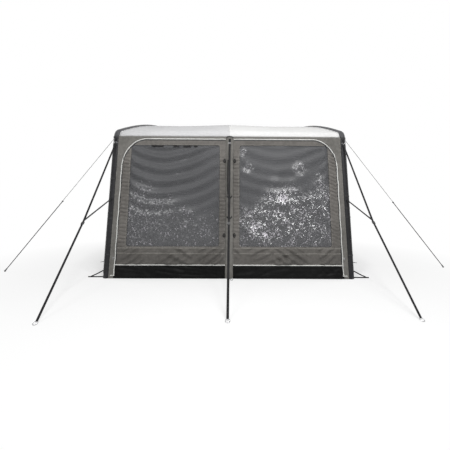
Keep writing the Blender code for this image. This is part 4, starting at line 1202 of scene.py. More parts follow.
def side_wall_outline():
    """A side wall's outline above its mud band, and how far from the feet its front starts."""
    under = sideways(bend_corner(bare_line(), 1, ELBOW_RADIUS, 8), -SKIN)
    back = BACK - PAD_THICKNESS - SEAT
    foot = BAND_TOP + SEAT
    front = [point for point in under if point.x < back]
    low = front[0] + (front[1] - front[0]) * (foot - front[0].y) / (front[1].y - front[0].y)
    last = front[-1] + (under[-1] - front[-1]) * (back - front[-1].x) / (under[-1].x - front[-1].x)
    line = [low, *front[1:], last, Vector((back, foot))]
    return [(point.x - FEET, point.y / cos(FLARE)) for point in line], low.x - FEET


def sew_side(name):
    """A side wall with its mud band, and its door with the door's window."""
    side = SIDES[name]
    body = f"side_leaf_{name}"
    outline, low = side_wall_outline()

    def on_side(along, up):
        return side_point(side, along, up, -0.001 + side_relief(side, along, up))

    def on_door(along, up):
        edge = min(along - DOOR["front"], DOOR["back"] - along, up - DOOR["foot"], DOOR["top"] - up)
        free = smoothstep(0.0, 0.08, edge)
        slow = ripple(along, up, 0.25, 61.0 * side) * 0.003 * free
        return side_point(side, along, up, -0.001 + max(slow, -0.0003))

    facing = 1.0 if side > 0 else -1.0
    cut = [outline, door_outline(LEAF_GAP, DOOR["back"])]
    wall = cloth(f"side_cloth_{name}", cut, on_side, WALL_CLOTH, 0.02, FABRIC, facing)
    belongs(wall, "awning", "wall_taupe", f"side_wall_{name}")
    cut = [door_outline(0, DOOR["back"] - HINGE_GAP), door_window_outline(0)]
    door = cloth(f"door_cloth_{name}", cut, on_door, WALL_CLOTH, 0.016, FABRIC, facing)
    belongs(door, body, "wall_taupe", f"side_door_{name}")

    def on_pane(along, up):
        beside = min(along - SIDE_WINDOW["near"], SIDE_WINDOW["far"] - along)
        free = smoothstep(0.0, 0.05, min(beside, up - SIDE_WINDOW["low"], SIDE_WINDOW["high"] - up))
        sharp = abs(ripple(along, up, 0.05, 71.0 * side)) * 0.003 + 0.004 * ripple(along, up, 0.2, 72.0 * side)
        return side_point(side, along, up, -0.0021 + sharp * free)

    pane = cloth(f"door_pane_{name}", [door_window_outline(0.012)], on_pane, CLEAR_PANE, 0.012, CLEAR_SHEET, 0.0)
    mark(pane, "crumple", lambda spot: 0.5 + 0.5 * ripple(spot.y, spot.z, 0.3, 75.0))
    belongs(pane, body, "window_clear", f"door_window_{name}")

    near = low - tan(LEAN) * (BAND_TOP + SEAT)
    far = BACK - PAD_THICKNESS - SEAT - FEET
    band_outline = [(near, GROUND_GAP), (far, GROUND_GAP), (far, BAND_TOP), (low, BAND_TOP)]

    def on_band(along, up):
        free = smoothstep(0.1, 0.3, along) * (1 - smoothstep(2.2, 2.4, along)) * (1 - smoothstep(0.13, BAND_TOP, up))
        return side_point(side, along, up, -0.001 + 0.003 * ripple(along, up * 2, 0.15, 81.0 * side) * free)

    band = cloth(f"side_band_{name}", [band_outline], on_band, BAND_CLOTH, 0.03, FABRIC, facing, 0.012)
    belongs(band, "awning", "band_black", f"side_mud_band_{name}")


for wing in SIDES:
    sew_side(wing)


# Rings, buckles, hooks and other hardware


BEAD_RADIUS = 0.004
BUCKLE_SIZE = (0.036, 0.034, 0.008)
BUCKLE_DROP = 0.035  # from the straps' join to the middle of the buckle


def closed_bar(name, points, radius, finish, up):
    return round_bar(name, points, radius, finish, sides=14, closed=True, up=up)


def straight_back(points):
    """Points between the last of some points and the first of them."""
    return [points[-1].lerp(points[0], step / 8) for step in range(1, 8)]


def box_in(shape, size, place=(0, 0, 0)):
    """A box of a size added to a shape."""
    corners = bmesh.ops.create_cube(shape, size=1)["verts"]
    bmesh.ops.scale(shape, vec=size, verts=corners)
    bmesh.ops.translate(shape, vec=place, verts=corners)


def bend_ring(name):
    """A welded ring with a straight bar that its strap holds."""
    at = storm_places(name)
    slope = ring_slope(at.join - at.pivot)
    across = strap_across(at.join - at.pivot)
    start = atan2(RING_BAR, RING_RISE)
    points = []
    for turn in evenly(start, 2 * pi - start, 44):
        points.append(at.pivot + across * RING_RADIUS * sin(turn) + slope * (RING_RADIUS * cos(turn) - RING_RISE))
    points += straight_back(points)
    ring = closed_bar(f"ring_{name}", points, RING_WIRE, STEEL, across.cross(slope))
    belongs(ring, f"ring_{name}", "ring_steel", f"ground_ring_{name}")

    hook, up = at.hook, WALL_UP
    points = []
    for turn in evenly(0, pi, 24):
        points.append(hook + Vector((1, 0, 0)) * D_RING_RADIUS * cos(turn) - up * D_RING_RADIUS * sin(turn))
    points += straight_back(points)
    d_ring = closed_bar(f"d_ring_wire_{name}", points, D_RING_WIRE, STEEL, Vector(WALL_OUT))
    belongs(d_ring, "awning", "ring_steel", f"d_ring_{name}")

    out = Vector(WALL_OUT)
    fold = [hook + up * a + out * b for a, b in ((0.050, -0.0016), (0.022, -0.0014), (0.004, 0.0012))]
    tab = webbing(f"d_ring_tab_{name}", fold, 0.028, 0.0018)[0]
    belongs(tab, "awning", "strap_black")
    turned = [at.top + up * a + out * b for a, b in ((-0.034, 0.0032), (-0.006, 0.0030), (0.0035, 0.0012))]
    lap = webbing(f"strap_lap_{name}", turned, WEBBING_WIDTH * 0.98, 0.0018)[0]
    belongs(lap, "awning", "strap_black")


def mould_buckle(name):
    """A slide buckle round its strap, with ribs to grip it by."""
    at = storm_places(name)
    along = (at.end - at.join).normalized()
    across = strap_across(along)
    out = across.cross(along).normalized()
    centre = at.join + along * BUCKLE_DROP
    shape = bmesh.new()
    box_in(shape, BUCKLE_SIZE)
    bmesh.ops.bevel(shape, geom=[*shape.verts, *shape.edges], offset=0.0022, segments=3, affect="EDGES")
    block = mesh_piece(f"buckle_{name}_body", shape, PLASTIC)
    tool = bmesh.new()
    box_in(tool, (WEBBING_WIDTH + 0.0012, 0.1, 0.0030))
    slot = mesh_piece("slot_tool", tool, PLASTIC)
    cut = block.modifiers.new("slot", "BOOLEAN")
    cut.operation, cut.object, cut.solver = "DIFFERENCE", slot, "EXACT"
    made = settled(block)
    block.modifiers.clear()
    block.data = made
    bpy.data.objects.remove(slot)
    shape = bmesh.new()
    shape.from_mesh(block.data)
    for rib in range(4):
        for face in (1, -1):
            box_in(shape, (0.022, 0.0022, 0.0012), (0, -0.009 + 0.006 * rib, face * 0.0042))
    turn = Matrix((across, along, out)).transposed().to_4x4()
    bmesh.ops.transform(shape, matrix=Matrix.Translation(centre) @ turn, verts=shape.verts)
    shape.to_mesh(block.data)
    shape.free()
    belongs(block, f"buckle_{name}", "buckle_black", f"storm_buckle_{name}")


def plate(name, outlines, thickness, centre, axes, finish, edge=0.0008):
    """A moulded plate cut to outlines in the plane of two axes, rounded along its edges."""
    shape = cut_flat(outlines)
    across, up = (Vector(axis).normalized() for axis in axes)
    for vertex in shape.verts:
        vertex.co = Vector(centre) + across * vertex.co.x + up * vertex.co.y
    obj = mesh_piece(name, shape, finish, tidy=False)
    thicken(obj, thickness, 0)
    return soften(obj, edge)


def oval(centre, radius, first, last, steps=18):
    """Points round part of a circle."""
    angles = evenly(first, last, steps)
    return [(centre[0] + radius * cos(angle), centre[1] + radius * sin(angle)) for angle in angles]


def mould_line_fittings(name):
    """A guyline's hook, runner and knot."""
    eye, up, aside, out_of, length, turn, runner = line_plane(name)
    half = HOOK_WIDTH / 2
    ring = oval((0, 0), HOOK_EYE, 0, 2 * pi)[1:]
    spread = atan2(0.007, 0.018)
    body = oval((0, 0), half, spread + pi / 4, 2 * pi - spread - pi / 4)
    body += [(0.018, -0.007), (turn + 0.0008, -0.007), (turn + 0.0008, 0.007), (0.018, 0.007)]
    near = ((LINE_FOLD - LINE_RADIUS) ** 2 - (HOOK_THICKNESS / 2) ** 2) ** 0.5
    far = LINE_FOLD + LINE_RADIUS
    bore = oval((turn - (near + far) / 2, 0), (far - near) / 2 + SEAT, 0, 2 * pi)[1:]
    hook = plate(f"hook_{name}", [body, bore, ring], HOOK_THICKNESS, eye, (up, aside), PLASTIC)
    belongs(hook, "awning", "buckle_black", f"line_hook_{name}")
    outline = oval((0.009, 0), 0.007, -pi / 2, pi / 2) + oval((-0.009, 0), 0.007, pi / 2, 3 * pi / 2)
    holes = [oval((place, 0), LINE_RADIUS + 0.0005, 0, 2 * pi)[1:] for place in (LINE_FOLD, -LINE_FOLD)]
    slider = plate(f"runner_{name}_plate", [outline, *holes], 0.010, eye + up * runner, (out_of, aside), PLASTIC)
    belongs(slider, f"runner_{name}", "buckle_black", f"line_runner_{name}")
    start = eye + up * length + out_of * LINE_FOLD
    tied = soft_line([start - up * 0.012, start + up * 0.003], 0.004)
    knot = round_bar(f"guyline_knot_{name}", tied, 0.0048, LINE_ROPE, up=aside)
    belongs(knot, "awning", "line_black")


def sew_corner_straps(name):
    """A corner's pegging strap: one run along the ground, and one from higher up the leg."""
    side = SIDES[name]
    near = leg_reach(0) + BEAM_RADIUS / cos(FLARE) + SEAT
    far = near + 0.165
    half = PEG_WEBBING / 2
    low = SEAT + half
    high = 0.085 + half
    ground = [(near, low), (far - 0.02, low), (far + 0.034, low)]
    fork = [(near - tan(FLARE) * high, high), (near + 0.09, high * 0.47), (far - 0.004, low + 0.004)]
    for part, points in (("ground", ground), ("fork", fork)):
        depth = FEET + (0 if part == "ground" else SEAT)
        places = soft_line([(side * out, depth, up) for out, up in points], 0.012)
        under = [(-half, 0), (0.0005 - half, -0.0012), (0, -0.0011), (half - 0.0005, -0.0012), (half, 0)]
        profile = under + [(across, -level) for across, level in reversed(under[1:-1])]
        name_of = f"peg_webbing_{part}_{name}"
        strap = swept(name_of, places, profile, WEBBING_CLOTH, frame_of=along_frames(places, (0, 1, 0)))
        belongs(strap, "awning", "strap_black", *([f"corner_peg_strap_{name}"] if part == "ground" else []))


# Out from the middle of the leg, and the cap's radius there
CAP_LEVELS = ((0.0510, 0.0154), (0.0524, 0.0158), (0.0630, 0.0157), (0.0655, 0.0150), (0.0664, 0.0128), (0.0664, 0.004))
CAP_GRIP_RADIUS = 0.0145  # the grips are on the rings wider than this


def turn_cap(name):
    """A screw cap with grips round it, over the stem of an air beam's valve."""
    side = BEAMS[name]
    up = (leg_point(side, EAVE_HEIGHT) - leg_point(side, 0)).normalized()
    wish = Vector((-side, 0, 0)) if side else Vector((0, 1, 0))
    spot = leg_point(side, 0.32)
    out = (wish - up * up.dot(wish)).normalized()
    across = up.cross(out)
    rings = []
    for level, radius in CAP_LEVELS:
        ring = []
        for step in range(48):
            grip = 0.0006 * (1 if step % 4 < 2 else -1) * (radius > CAP_GRIP_RADIUS)
            turn = 2 * pi * step / 48
            ring.append(spot + out * level + (across * cos(turn) + up * sin(turn)) * (radius + grip - 0.0004))
        rings.append(ring)
    cap = mesh_piece(f"valve_screw_{name}", joined_rings(rings), PLASTIC)
    belongs(cap, f"cap_{name}", "valve_black", f"valve_cap_{name}")
    stem_line = [spot + out * level for level in (0.0470, 0.0545, 0.0600)]
    stem = round_bar(f"valve_stem_{name}", stem_line, 0.0105, BLADDER, sides=32, up=up)
    belongs(stem, "awning", "bladder_clear")
    collar = [spot + out * 0.0503 + across * a + up * b for a, b in circle(0.0185, 32)]
    ring = closed_bar(f"valve_collar_{name}", collar, 0.0016, PLASTIC, out)
    belongs(ring, "awning", "valve_black")


def stuff_pad(name):
    """A foam pad in a cloth cover, pressed flat where it meets the caravan."""
    low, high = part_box(f"rear_pad_{name}")
    size = high - low
    rows = 90
    outline = rounded([(0, 0), (size.x, 0), (size.x, size.y), (0, size.y)], 0.011, 4)
    centre = Vector((size.x / 2, size.y / 2))
    rings = []
    for row in range(rows + 1):
        up = low.z + size.z * row / rows
        pinch = smoothstep(0, 0.02, min(row, rows - row) / rows)
        ring = []
        for across, deep in outline:
            inward = 0.0016 * (1 - pinch) + 0.0012 * (1 + ripple(across * 3, up, 0.12, 91.0)) * (deep < size.y * 0.6)
            spot = Vector((across, deep))
            spot += (centre - spot).normalized() * inward
            ring.append((low.x + spot.x, low.y + spot.y, up))
        rings.append(ring)
    pad = mesh_piece(f"pad_{name}", joined_rings(rings), PAD_CLOTH)
    belongs(pad, "awning", "pad_grey", f"rear_pad_{name}")


for beam in BEAMS:
    bend_ring(beam)
    mould_buckle(beam)
    turn_cap(beam)
for wing in SIDES:
    mould_line_fittings(wing)
    sew_corner_straps(wing)
    stuff_pad(wing)
    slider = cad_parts[f"zip_slider_{wing}"]
    slider.data.materials.clear()
    slider.data.materials.append(ZIP_METAL)

bead_low, bead_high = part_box("keder_bead")
bead_middle = (bead_low + bead_high) / 2
bead_ends = [(across, bead_middle.y, bead_middle.z) for across in (bead_low.x, bead_high.x)]
bead = round_bar("keder_cord", soft_line(bead_ends, 0.1), BEAD_RADIUS, BEAD, sides=16)
belongs(bead, "awning", "bead_white", "keder_bead")


# Rows of stitches and zip teeth


def make_row():
    """A row of small blocks along a path of edges, one block each spacing, turned with the path."""
    tree = bpy.data.node_groups.new("row_of_blocks", "GeometryNodeTree")
    sockets = (
        ("Path", "NodeSocketGeometry", None),
        ("Spacing", "NodeSocketFloat", 0.006),
        ("Block Size", "NodeSocketVector", (0.004, 0.001, 0.001)),
        ("Facing", "NodeSocketVector", (0, -1, 0)),
        ("Unevenness", "NodeSocketFloat", 0.1),
        ("Seed", "NodeSocketInt", 1),
        ("Finish", "NodeSocketMaterial", None),
    )
    for label, kind, value in sockets:
        socket = tree.interface.new_socket(label, in_out="INPUT", socket_type=kind)
        if value is not None:
            socket.default_value = value
    tree.interface.new_socket("Blocks", in_out="OUTPUT", socket_type="NodeSocketGeometry")
    given = tree.nodes.new("NodeGroupInput").outputs
    result = tree.nodes.new("NodeGroupOutput")
    curve = add_node(tree, "GeometryNodeMeshToCurve", {"Mesh": given["Path"]})
    inputs = {"Curve": curve.outputs["Curve"], "Length": given["Spacing"]}
    spaced = add_node(tree, "GeometryNodeResampleCurve", inputs, mode="LENGTH")
    block = add_node(tree, "GeometryNodeMeshCube", {"Size": given["Block Size"]})
    inputs = {"Primary Axis": given["Facing"], "Secondary Axis": add_node(tree, "GeometryNodeInputTangent").outputs[0]}
    turn = add_node(tree, "FunctionNodeAxesToRotation", inputs, primary_axis="Z", secondary_axis="X")
    least, most = (maths(tree, operation, 1.0, given["Unevenness"]) for operation in ("SUBTRACT", "ADD"))
    inputs = {2: least, 3: most, "Seed": given["Seed"]}
    scale = add_node(tree, "FunctionNodeRandomValue", inputs, data_type="FLOAT")
    inputs = {"Points": spaced.outputs["Curve"], "Instance": block.outputs["Mesh"]}
    inputs |= {"Rotation": turn.outputs["Rotation"], "Scale": scale.outputs[1]}
    placed = add_node(tree, "GeometryNodeInstanceOnPoints", inputs)
    real = add_node(tree, "GeometryNodeRealizeInstances", {"Geometry": placed.outputs["Instances"]})
    inputs = {"Geometry": real.outputs["Geometry"], "Material": given["Finish"]}
    dressed = add_node(tree, "GeometryNodeSetMaterial", inputs)
    tree.links.new(dressed.outputs["Geometry"], result.inputs["Blocks"])
    return tree


ROW = make_row()
STITCH = (0.0042, 0.0011, 0.0008)
TOOTH = (0.0026, 0.0046, 0.0012)
TOOTH_PITCH = 0.0046


def row(name, paths, body, slot, finish, facing, spacing=0.0065, size=STITCH, seed=1):
    """Stitches or teeth along paths of points, made into one plain mesh."""
    data = bpy.data.meshes.new(name)
    points = [point for path in paths for point in path]
    edges, start = [], 0
    for path in paths:
        edges += [(start + step, start + step + 1) for step in range(len(path) - 1)]
        start += len(path)
    data.from_pydata(points, edges, [])
    obj = link(bpy.data.objects.new(name, data))
    blocks = obj.modifiers.new("blocks", "NODES")
    blocks.node_group = ROW
    values = {"Spacing": spacing, "Block Size": size, "Facing": facing}
    values |= {"Unevenness": 0.08, "Seed": seed, "Finish": finish}
    for item in ROW.interface.items_tree:
        if item.name in values:
            blocks[item.identifier] = values[item.name]
    made = settled(obj)
    obj.modifiers.clear()
    obj.data = made
    belongs(obj, body, slot)


def on_cloth(path, above=0.0024):
    """Points on the front of the wall's cloth from flat places."""
    line = []
    for start, end in zip(path, path[1:]):
        start, end = Vector(start), Vector(end)
        count = max(1, round((end - start).length / 0.01))
        line += [start.lerp(end, step / count) for step in range(count)]
    line.append(path[-1])
    return [wall_point(across, up, wall_relief(across, up) + above) for across, up in line]


def stitch_front(name):
    """The stitched seams of a front panel, its zip's tape and teeth, and the seams sewn across it."""
    side = SIDES[name]
    body = f"front_leaf_{name}"
    sewn = []
    for grow in (0.005, 0.014):
        outline = mirrored(rounded(window_corners(grow), WINDOW["corner"] + grow), side)
        sewn.append([*outline, outline[0]])
    sewn.append(mirrored([(PANEL_HINGE + 0.008, BAND_TOP + 0.006), (PANEL_HINGE + 0.008, PANEL_TOP - 0.006)], side))

    def sew_tape(part, ends, profile, finish, slot):
        points = on_cloth(mirrored(ends, side), FABRIC + 0.0002)
        sewn_on = swept(f"{part}_{name}", points, profile, finish, frame_of=along_frames(points, WALL_OUT))
        belongs(sewn_on, body, slot)
        return points

    for part, height in (("window_seam", WINDOW["foot"] - 0.022), ("lower_seam", SEAM_HEIGHT)):
        inner, outer = PANEL_HINGE + 0.003, panel_side(height) - SEAM_INSET
        profile = [(-0.005, 0), (-0.004, 0.0011), (0.0035, 0.0013), (0.005, 0)]
        sew_tape(part, [(inner, height), (outer, height)], profile, SEAM_CLOTH, "wall_taupe")
        sewn.append(mirrored([(inner, height + 0.009), (outer, height + 0.009)], side))
    above = BAND_TOP + 0.014
    sewn.append(mirrored([(PANEL_HINGE + 0.004, above), (panel_side(BAND_TOP) - SEAM_INSET, above)], side))
    row(f"panel_stitches_{name}", [on_cloth(path) for path in sewn], body, "wall_taupe", THREAD, WALL_OUT)

    zipped = panel_edge(ZIP_INSET, 0.19, 40) + [(PANEL_HINGE + 0.01, PANEL_TOP - ZIP_INSET)]
    # The zip tape takes the black sleeve cloth: partly its own black, partly painted shadow under the piping.
    points = sew_tape("zip_tape", zipped, tape(0.017), SLEEVE_CLOTH, "strap_black")
    teeth = [point + Vector(WALL_OUT) * 0.0013 for point in points]
    row(f"zip_teeth_{name}", [teeth], body, "zip_metal", TEETH, WALL_OUT, TOOTH_PITCH, TOOTH, 3)


def stitch_surround():
    """The stitches along the surround's top and down its sides."""
    paths = [on_cloth([(-1.49, 1.882), (1.49, 1.882)])]
    for side in (-1, 1):
        paths.append(on_cloth([(side * (strip_side(0.02) - 0.006), 0.02), (side * (strip_side(1.85) - 0.006), 1.86)]))
    row("surround_stitches", paths, "awning", "wall_taupe", THREAD, WALL_OUT, seed=5)


for wing in SIDES:
    stitch_front(wing)
stitch_surround()


# Loops, bands, toggles and tapes


def round_leg(side, height, turn, level):
    """A point beside a beam, level from its centre line, turned outwards from the front."""
    out = Vector((side or 1, 0, 0))
    forward = Vector(WALL_OUT)
    return leg_point(side, height) + (out * sin(turn) + forward * cos(turn)) * level


def leg_way(side):
    """The way up a leg."""
    return (leg_point(side, 1.0) - leg_point(side, 0.0)).normalized()


def band_round(name, side, height, first, last, width, level):
    """A flat band round part of a beam's sleeve, from one turn in degrees to another."""
    turns = evenly(radians(first), radians(last), 28)
    points = [round_leg(side, height, turn, level) for turn in turns]
    outward = [round_leg(side, height, turn, 1.0) - leg_point(side, height) for turn in turns]
    up = leg_way(side)
    band = swept(name, points, strip(width, 0.0016), TAPE_CLOTH, frame_of=lambda index: (up, outward[index]))
    belongs(band, "awning", "strap_black")


SLEEVE_BANDS = {"left": (0.30, 0.77, 0.84, 1.30), "right": (0.30, 0.80, 0.92, 1.08)}


def trim_sleeve(name):
    """The long zip flap of an outer sleeve, and the bands and tabs sewn round it."""
    side = SIDES[name]
    turn = radians(38)
    points = [round_leg(side, height, turn, SKIN + 0.0014) for height in evenly(0.06, 1.78, 60)]
    outward = round_leg(side, 1.0, turn, 1.0) - leg_point(side, 1.0)
    across = leg_way(side).cross(outward).normalized()
    profile = [(-0.011, -0.001), (0.011, -0.001), (0.0105, 0.0006), (-0.0105, 0.0010)]
    flap = swept(f"sleeve_flap_{name}", points, profile, TAPE_CLOTH, frame_of=lambda index: (across, outward))
    belongs(flap, "awning", "strap_black")
    teeth = [point - across * 0.0145 for point in points]
    size = (*TOOTH[:2], 0.0014)
    row(f"sleeve_teeth_{name}", [teeth], "awning", "zip_metal", TEETH, tuple(outward), TOOTH_PITCH, size, 7)
    for index, height in enumerate(SLEEVE_BANDS[name]):
        band_round(f"sleeve_band_{name}_{index + 1}", side, height, -28, 172, 0.014, SKIN + 0.0030)
    band_round(f"eave_band_{name}", side, 1.872, -40, 165, 0.022, SKIN + 0.0026)
    start = round_leg(side, 0.20, radians(90), SKIN + 0.001)
    path = [start, start + Vector((side * 0.024, 0, 0.001)), start + Vector((side * 0.050, 0, -0.004))]
    tab = webbing(f"side_tab_{name}", path, 0.02, 0.002)[0]
    belongs(tab, "awning", "strap_black")


BEAM_LOOPS = ((1.075, 0.034), (0.80, 0.028))  # height of the ends, and how far the middle hangs
LOOP_REACH = 0.035
TOGGLE_HEIGHTS = (1.55, 0.56)
TOGGLE_REACH = 0.068


def hang_beam_loops():
    """Webbing loops over the centre beam, and a corded one at its top."""
    for index, (height, dip) in enumerate(BEAM_LOOPS):
        points = []
        for share in evenly(-1, 1, 24):
            spot = front_point(0, height - dip * cos(pi / 2 * share), SKIN + FABRIC + 0.0034)
            points.append(spot + Vector((LOOP_REACH * share, 0, 0)))
        frames = along_frames(points, WALL_OUT)
        loop = swept(f"beam_loop_{index + 1}", points, strip(0.016, 0.0018), WEBBING_CLOTH, frame_of=frames)
        belongs(loop, "awning", "strap_black")
    arch = []
    for turn in evenly(0, pi, 24):
        arch.append(front_point(0, 1.862 + 0.022 * sin(turn), SKIN + 0.006) + Vector((0.046 * cos(turn), 0, 0)))
    loop = round_bar("top_loop", arch, 0.0048, WEBBING_CLOTH, up=WALL_OUT)
    belongs(loop, "awning", "strap_black")


def hang_toggles(name):
    """Toggles beside the centre beam, each in its loop."""
    across = SIDES[name] * TOGGLE_REACH
    for index, height in enumerate(TOGGLE_HEIGHTS):
        up = height / cos(LEAN)
        spot = wall_point(across, up, wall_relief(across, up) + FABRIC + 0.0062)
        turns = [2 * pi * step / 24 for step in range(24)]
        ring = [spot + Vector((0.013 * cos(turn), 0, 0)) + WALL_UP * 0.025 * sin(turn) for turn in turns]
        loop = closed_bar(f"toggle_loop_{name}_{index + 1}", ring, 0.0040, WEBBING_CLOTH, WALL_OUT)
        belongs(loop, f"front_leaf_{name}", "strap_black")
        ends = [spot + Vector(WALL_OUT) * 0.007 + WALL_UP * 0.006 * shift for shift in (-2, -1, 0, 1, 2)]
        peg = round_bar(f"toggle_{name}_{index + 1}", ends, 0.0042, PLASTIC, up=WALL_OUT)
        belongs(peg, f"front_leaf_{name}", "buckle_black")


def hang_strap_shadow_and_hook():
    """A thin black strip beside the middle as painted shadow of the centre strap on the wall, and the hook that pegs
    the centre strap.
    """
    start = front_point(0, 1.56, SKIN + 0.012) + Vector((-0.021, 0, 0))
    end = front_point(0, 1.09, SKIN + 0.012) + Vector((-0.023, 0, 0))
    line = []
    for share in evenly(0, 1, 24):
        line.append(start.lerp(end, share) - Vector((0.003, 0.004, 0)) * sin(pi * share))
    # Painted shadow: black webbing where the centre strap's shadow falls on the wall.
    shadow_strip, line = webbing("strap_shadow_strip", line, 0.012, 0.0016)
    belongs(shadow_strip, "awning", "strap_black")
    hook = []
    for turn in evenly(0, radians(200), 21):
        hook.append(Vector((0.034 - 0.016 * cos(turn), FEET - 0.085 - 0.022 * sin(turn), 0.0034)))
    hook = [hook[0] + Vector((0, 0.030, 0.004)), *hook]
    peg = round_bar("pegging_hook", hook, 0.0030, PLASTIC)
    belongs(peg, "awning", "buckle_black")


def roof_spot(across, place, level=0.0):
    """A point of the roof's sheet: -1 to 1 across, a row from the front, and level out of it."""
    count = len(ROOF_RUN) - 1
    first = min(int(place), count - 1)
    point = ROOF_RUN[first].lerp(ROOF_RUN[first + 1], place - first)
    along = (ROOF_RUN[first + 1] - ROOF_RUN[first]).normalized()
    lower = (SKIN - ROOF_SEWN[1]) * abs(across) * min(place / ROOF_BEND, 1)
    if place > ROOF_BEND:
        lower += ROOF_SAG * sin(pi * (place - ROOF_BEND) / (count - ROOF_BEND)) * sin(pi * across) ** 2
    spot = point - Vector((-along.y, along.x)) * (lower - level)
    return Vector((ROOF_SEWN[0] * across, spot.x, spot.y))


ROOF_TAPES = {"centre": (-0.010, 0.010), "left": (-0.999, -0.984), "right": (0.984, 0.999)}
TAPE_START = 8  # the point of the roof line where they start


def tape_roof():
    """Tapes over the roof's centre seam and its sides, with their stitches."""
    count = len(ROOF_RUN) - 1
    sewn = []
    for part, (first, last) in ROOF_TAPES.items():
        shape = gridded(last - first, 1, 2, count - TAPE_START)
        for vertex in shape.verts:
            vertex.co.x += first
        keep_flat(shape, 1.5, 2.7)
        for vertex in shape.verts:
            vertex.co = roof_spot(vertex.co.x, TAPE_START + vertex.co.y * (count - 0.2 - TAPE_START), FABRIC + 0.0016)
        # The left tape takes the roof's painted shade, the others its painted light.
        finish = ROOF_SHADED_COPY if part == "left" else ROOF_LIT_COPY
        sewn_on = mesh_piece(f"roof_tape_{part}", shape, finish, smooth=False, tidy=False)
        sewn_on.data.shade_smooth()
        thicken(sewn_on, 0.0010, 1.0)
        belongs(sewn_on, "awning", "roof_grey")
        for edge in (first + 0.0025, last - 0.0025):
            sewn.append([roof_spot(edge, place, FABRIC + 0.0029) for place in evenly(TAPE_START, count - 0.5, 90)])
    row("roof_stitches", sewn, "awning", "roof_grey", BEAD, (0, -0.2, 0.98), 0.008, (0.0052, 0.0012, 0.0008), 9)


def door_rim(side, inset, level):
    """A line just inside a door's edge, from its hinge's foot round to its hinge's top."""
    outline = door_outline(-inset, DOOR["back"] - 0.02)
    path = [outline[1], outline[0], *reversed(outline[2:])]
    return soft_line([side_point(side, along, up, level) for along, up in path], 0.015)


def trim_door(name):
    """Piping and a zip round a side door, and the stitches of its window."""
    side = SIDES[name]
    body = f"side_leaf_{name}"
    facing = Vector((side * cos(FLARE), 0, sin(FLARE)))
    line = door_rim(side, 0.010, 0.0014)
    profile = [(0.0055 * cos(a), max(0.0028 * sin(a), -0.001)) for a in [2 * pi * s / 10 for s in range(10)]]
    piece = swept(f"door_piping_{name}", line, profile, PIPING_CLOTH, frame_of=along_frames(line, facing))
    belongs(piece, body, "piping_pale")
    line = door_rim(side, 0.024, 0.0022)
    zip_tape = swept(f"door_zip_tape_{name}", line, tape(0.011), TAPE_CLOTH, frame_of=along_frames(line, facing))
    belongs(zip_tape, body, "strap_black")
    teeth = [point + facing * 0.0013 for point in line]
    row(f"door_zip_teeth_{name}", [teeth], body, "zip_metal", TEETH, tuple(facing), TOOTH_PITCH, TOOTH, 3)
    sewn = []
    for grow in (0.006, 0.014):
        outline = door_window_outline(grow)
        sewn.append([side_point(side, along, up, 0.0022) for along, up in [*outline, outline[0]]])
    row(f"door_stitches_{name}", sewn, body, "wall_taupe", THREAD, tuple(facing), seed=11)


for wing in SIDES:
    trim_sleeve(wing)
hang_beam_loops()
for wing in SIDES:
    hang_toggles(wing)
hang_strap_shadow_and_hook()
tape_roof()
for wing in SIDES:
    trim_door(wing)


# Floor, backdrop and light


def lit_white(tree, level):
    """A factor for how much of a plain white is shown to the camera and to gloss and glass."""
    rays = tree.nodes.new("ShaderNodeLightPath").outputs
    seen = maths(tree, "MAXIMUM", rays["Is Camera Ray"], rays["Is Glossy Ray"])
    return maths(tree, "MULTIPLY", maths(tree, "MAXIMUM", seen, rays["Is Transmission Ray"]), level)


def blend_shaders(tree, share, first, second, end):
    """Joins two shaders to an end, with a share between them."""
    inputs = {0: share, 1: first.outputs[0], 2: second.outputs[0]}
    blend = add_node(tree, "ShaderNodeMixShader", inputs)
    tree.links.new(blend.outputs[0], tree.nodes[end].inputs["Surface"])


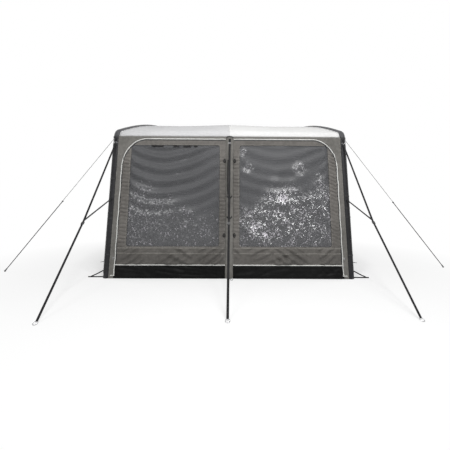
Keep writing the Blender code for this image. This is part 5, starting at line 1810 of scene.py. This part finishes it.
def lay_floor():
    """A plain floor, lit near the awning and plain white farther off."""
    shape = bmesh.new()
    bmesh.ops.create_grid(shape, x_segments=1, y_segments=1, size=60)
    finish = Finish("floor_white")
    finish.set(Base_Color=(0.78, 0.78, 0.78, 1), Roughness=0.95, Specular_IOR_Level=0.0)
    glow = finish.add("ShaderNodeEmission", {"Color": (1, 1, 1, 1), "Strength": 1.0})
    inputs = {"Vector": finish.place("Object"), "Location": (0, 0.35, 0), "Scale": (0.26, 0.38, 1)}
    near = finish.add("ShaderNodeMapping", inputs)
    away = finish.add("ShaderNodeVectorMath", {0: near.outputs[0]}, operation="LENGTH").outputs["Value"]
    lit = lit_white(finish.tree, finish.ranged(away, 0.5, 1.0, of=(0.45, 1.1)))
    blend_shaders(finish.tree, lit, finish.shader, glow, "Material Output")
    ground = mesh_piece("floor", shape, finish.made, smooth=False)
    ground.location.z = -0.0006


def hang_backdrop():
    """Plain white behind everything, with a softer white that lights the awning."""
    world = bpy.data.worlds.new("studio")
    bpy.context.scene.world = world
    world.use_nodes = True
    tree = world.node_tree
    air = tree.nodes["Background"]
    air.inputs["Color"].default_value = (1, 1, 1, 1)
    air.inputs["Strength"].default_value = 0.28
    white = add_node(tree, "ShaderNodeBackground", {"Color": (1, 1, 1, 1), "Strength": 1.0})
    blend_shaders(tree, lit_white(tree, 1.0), air, white, "World Output")


def hang_softbox(name, place, target, width, height, power):
    data = bpy.data.lights.new(name, "AREA")
    data.shape = "RECTANGLE"
    data.size, data.size_y, data.energy = width, height, power
    lamp = link(bpy.data.objects.new(name, data))
    lamp.location = place
    lamp.rotation_euler = (Vector(target) - Vector(place)).to_track_quat("-Z", "Y").to_euler()


lay_floor()
hang_backdrop()
hang_softbox("front_softbox", (0.7, -4.4, 4.8), (0, -1.1, 1.2), 1.4, 1.0, 120)
hang_softbox("right_softbox", (1.75, -6.0, 4.1), (0.6, -1.1, 1.0), 1.6, 1.2, 125)
hang_softbox("left_softbox", (-2.2, -6.0, 3.9), (-0.8, -1.1, 0.9), 1.3, 1.0, 75)
hang_softbox("top_softbox", (0.2, -2.0, 6.5), (0, -0.8, 0.8), 0.4, 0.4, 85)
for wing, side in SIDES.items():
    hang_softbox(f"{wing}_side_softbox", (side * 6.5, 0.5, 3.4), (side * 1.6, 0.2, 1.0), 2.0, 1.6, 90)
bpy.context.scene.view_settings.view_transform = "Standard"
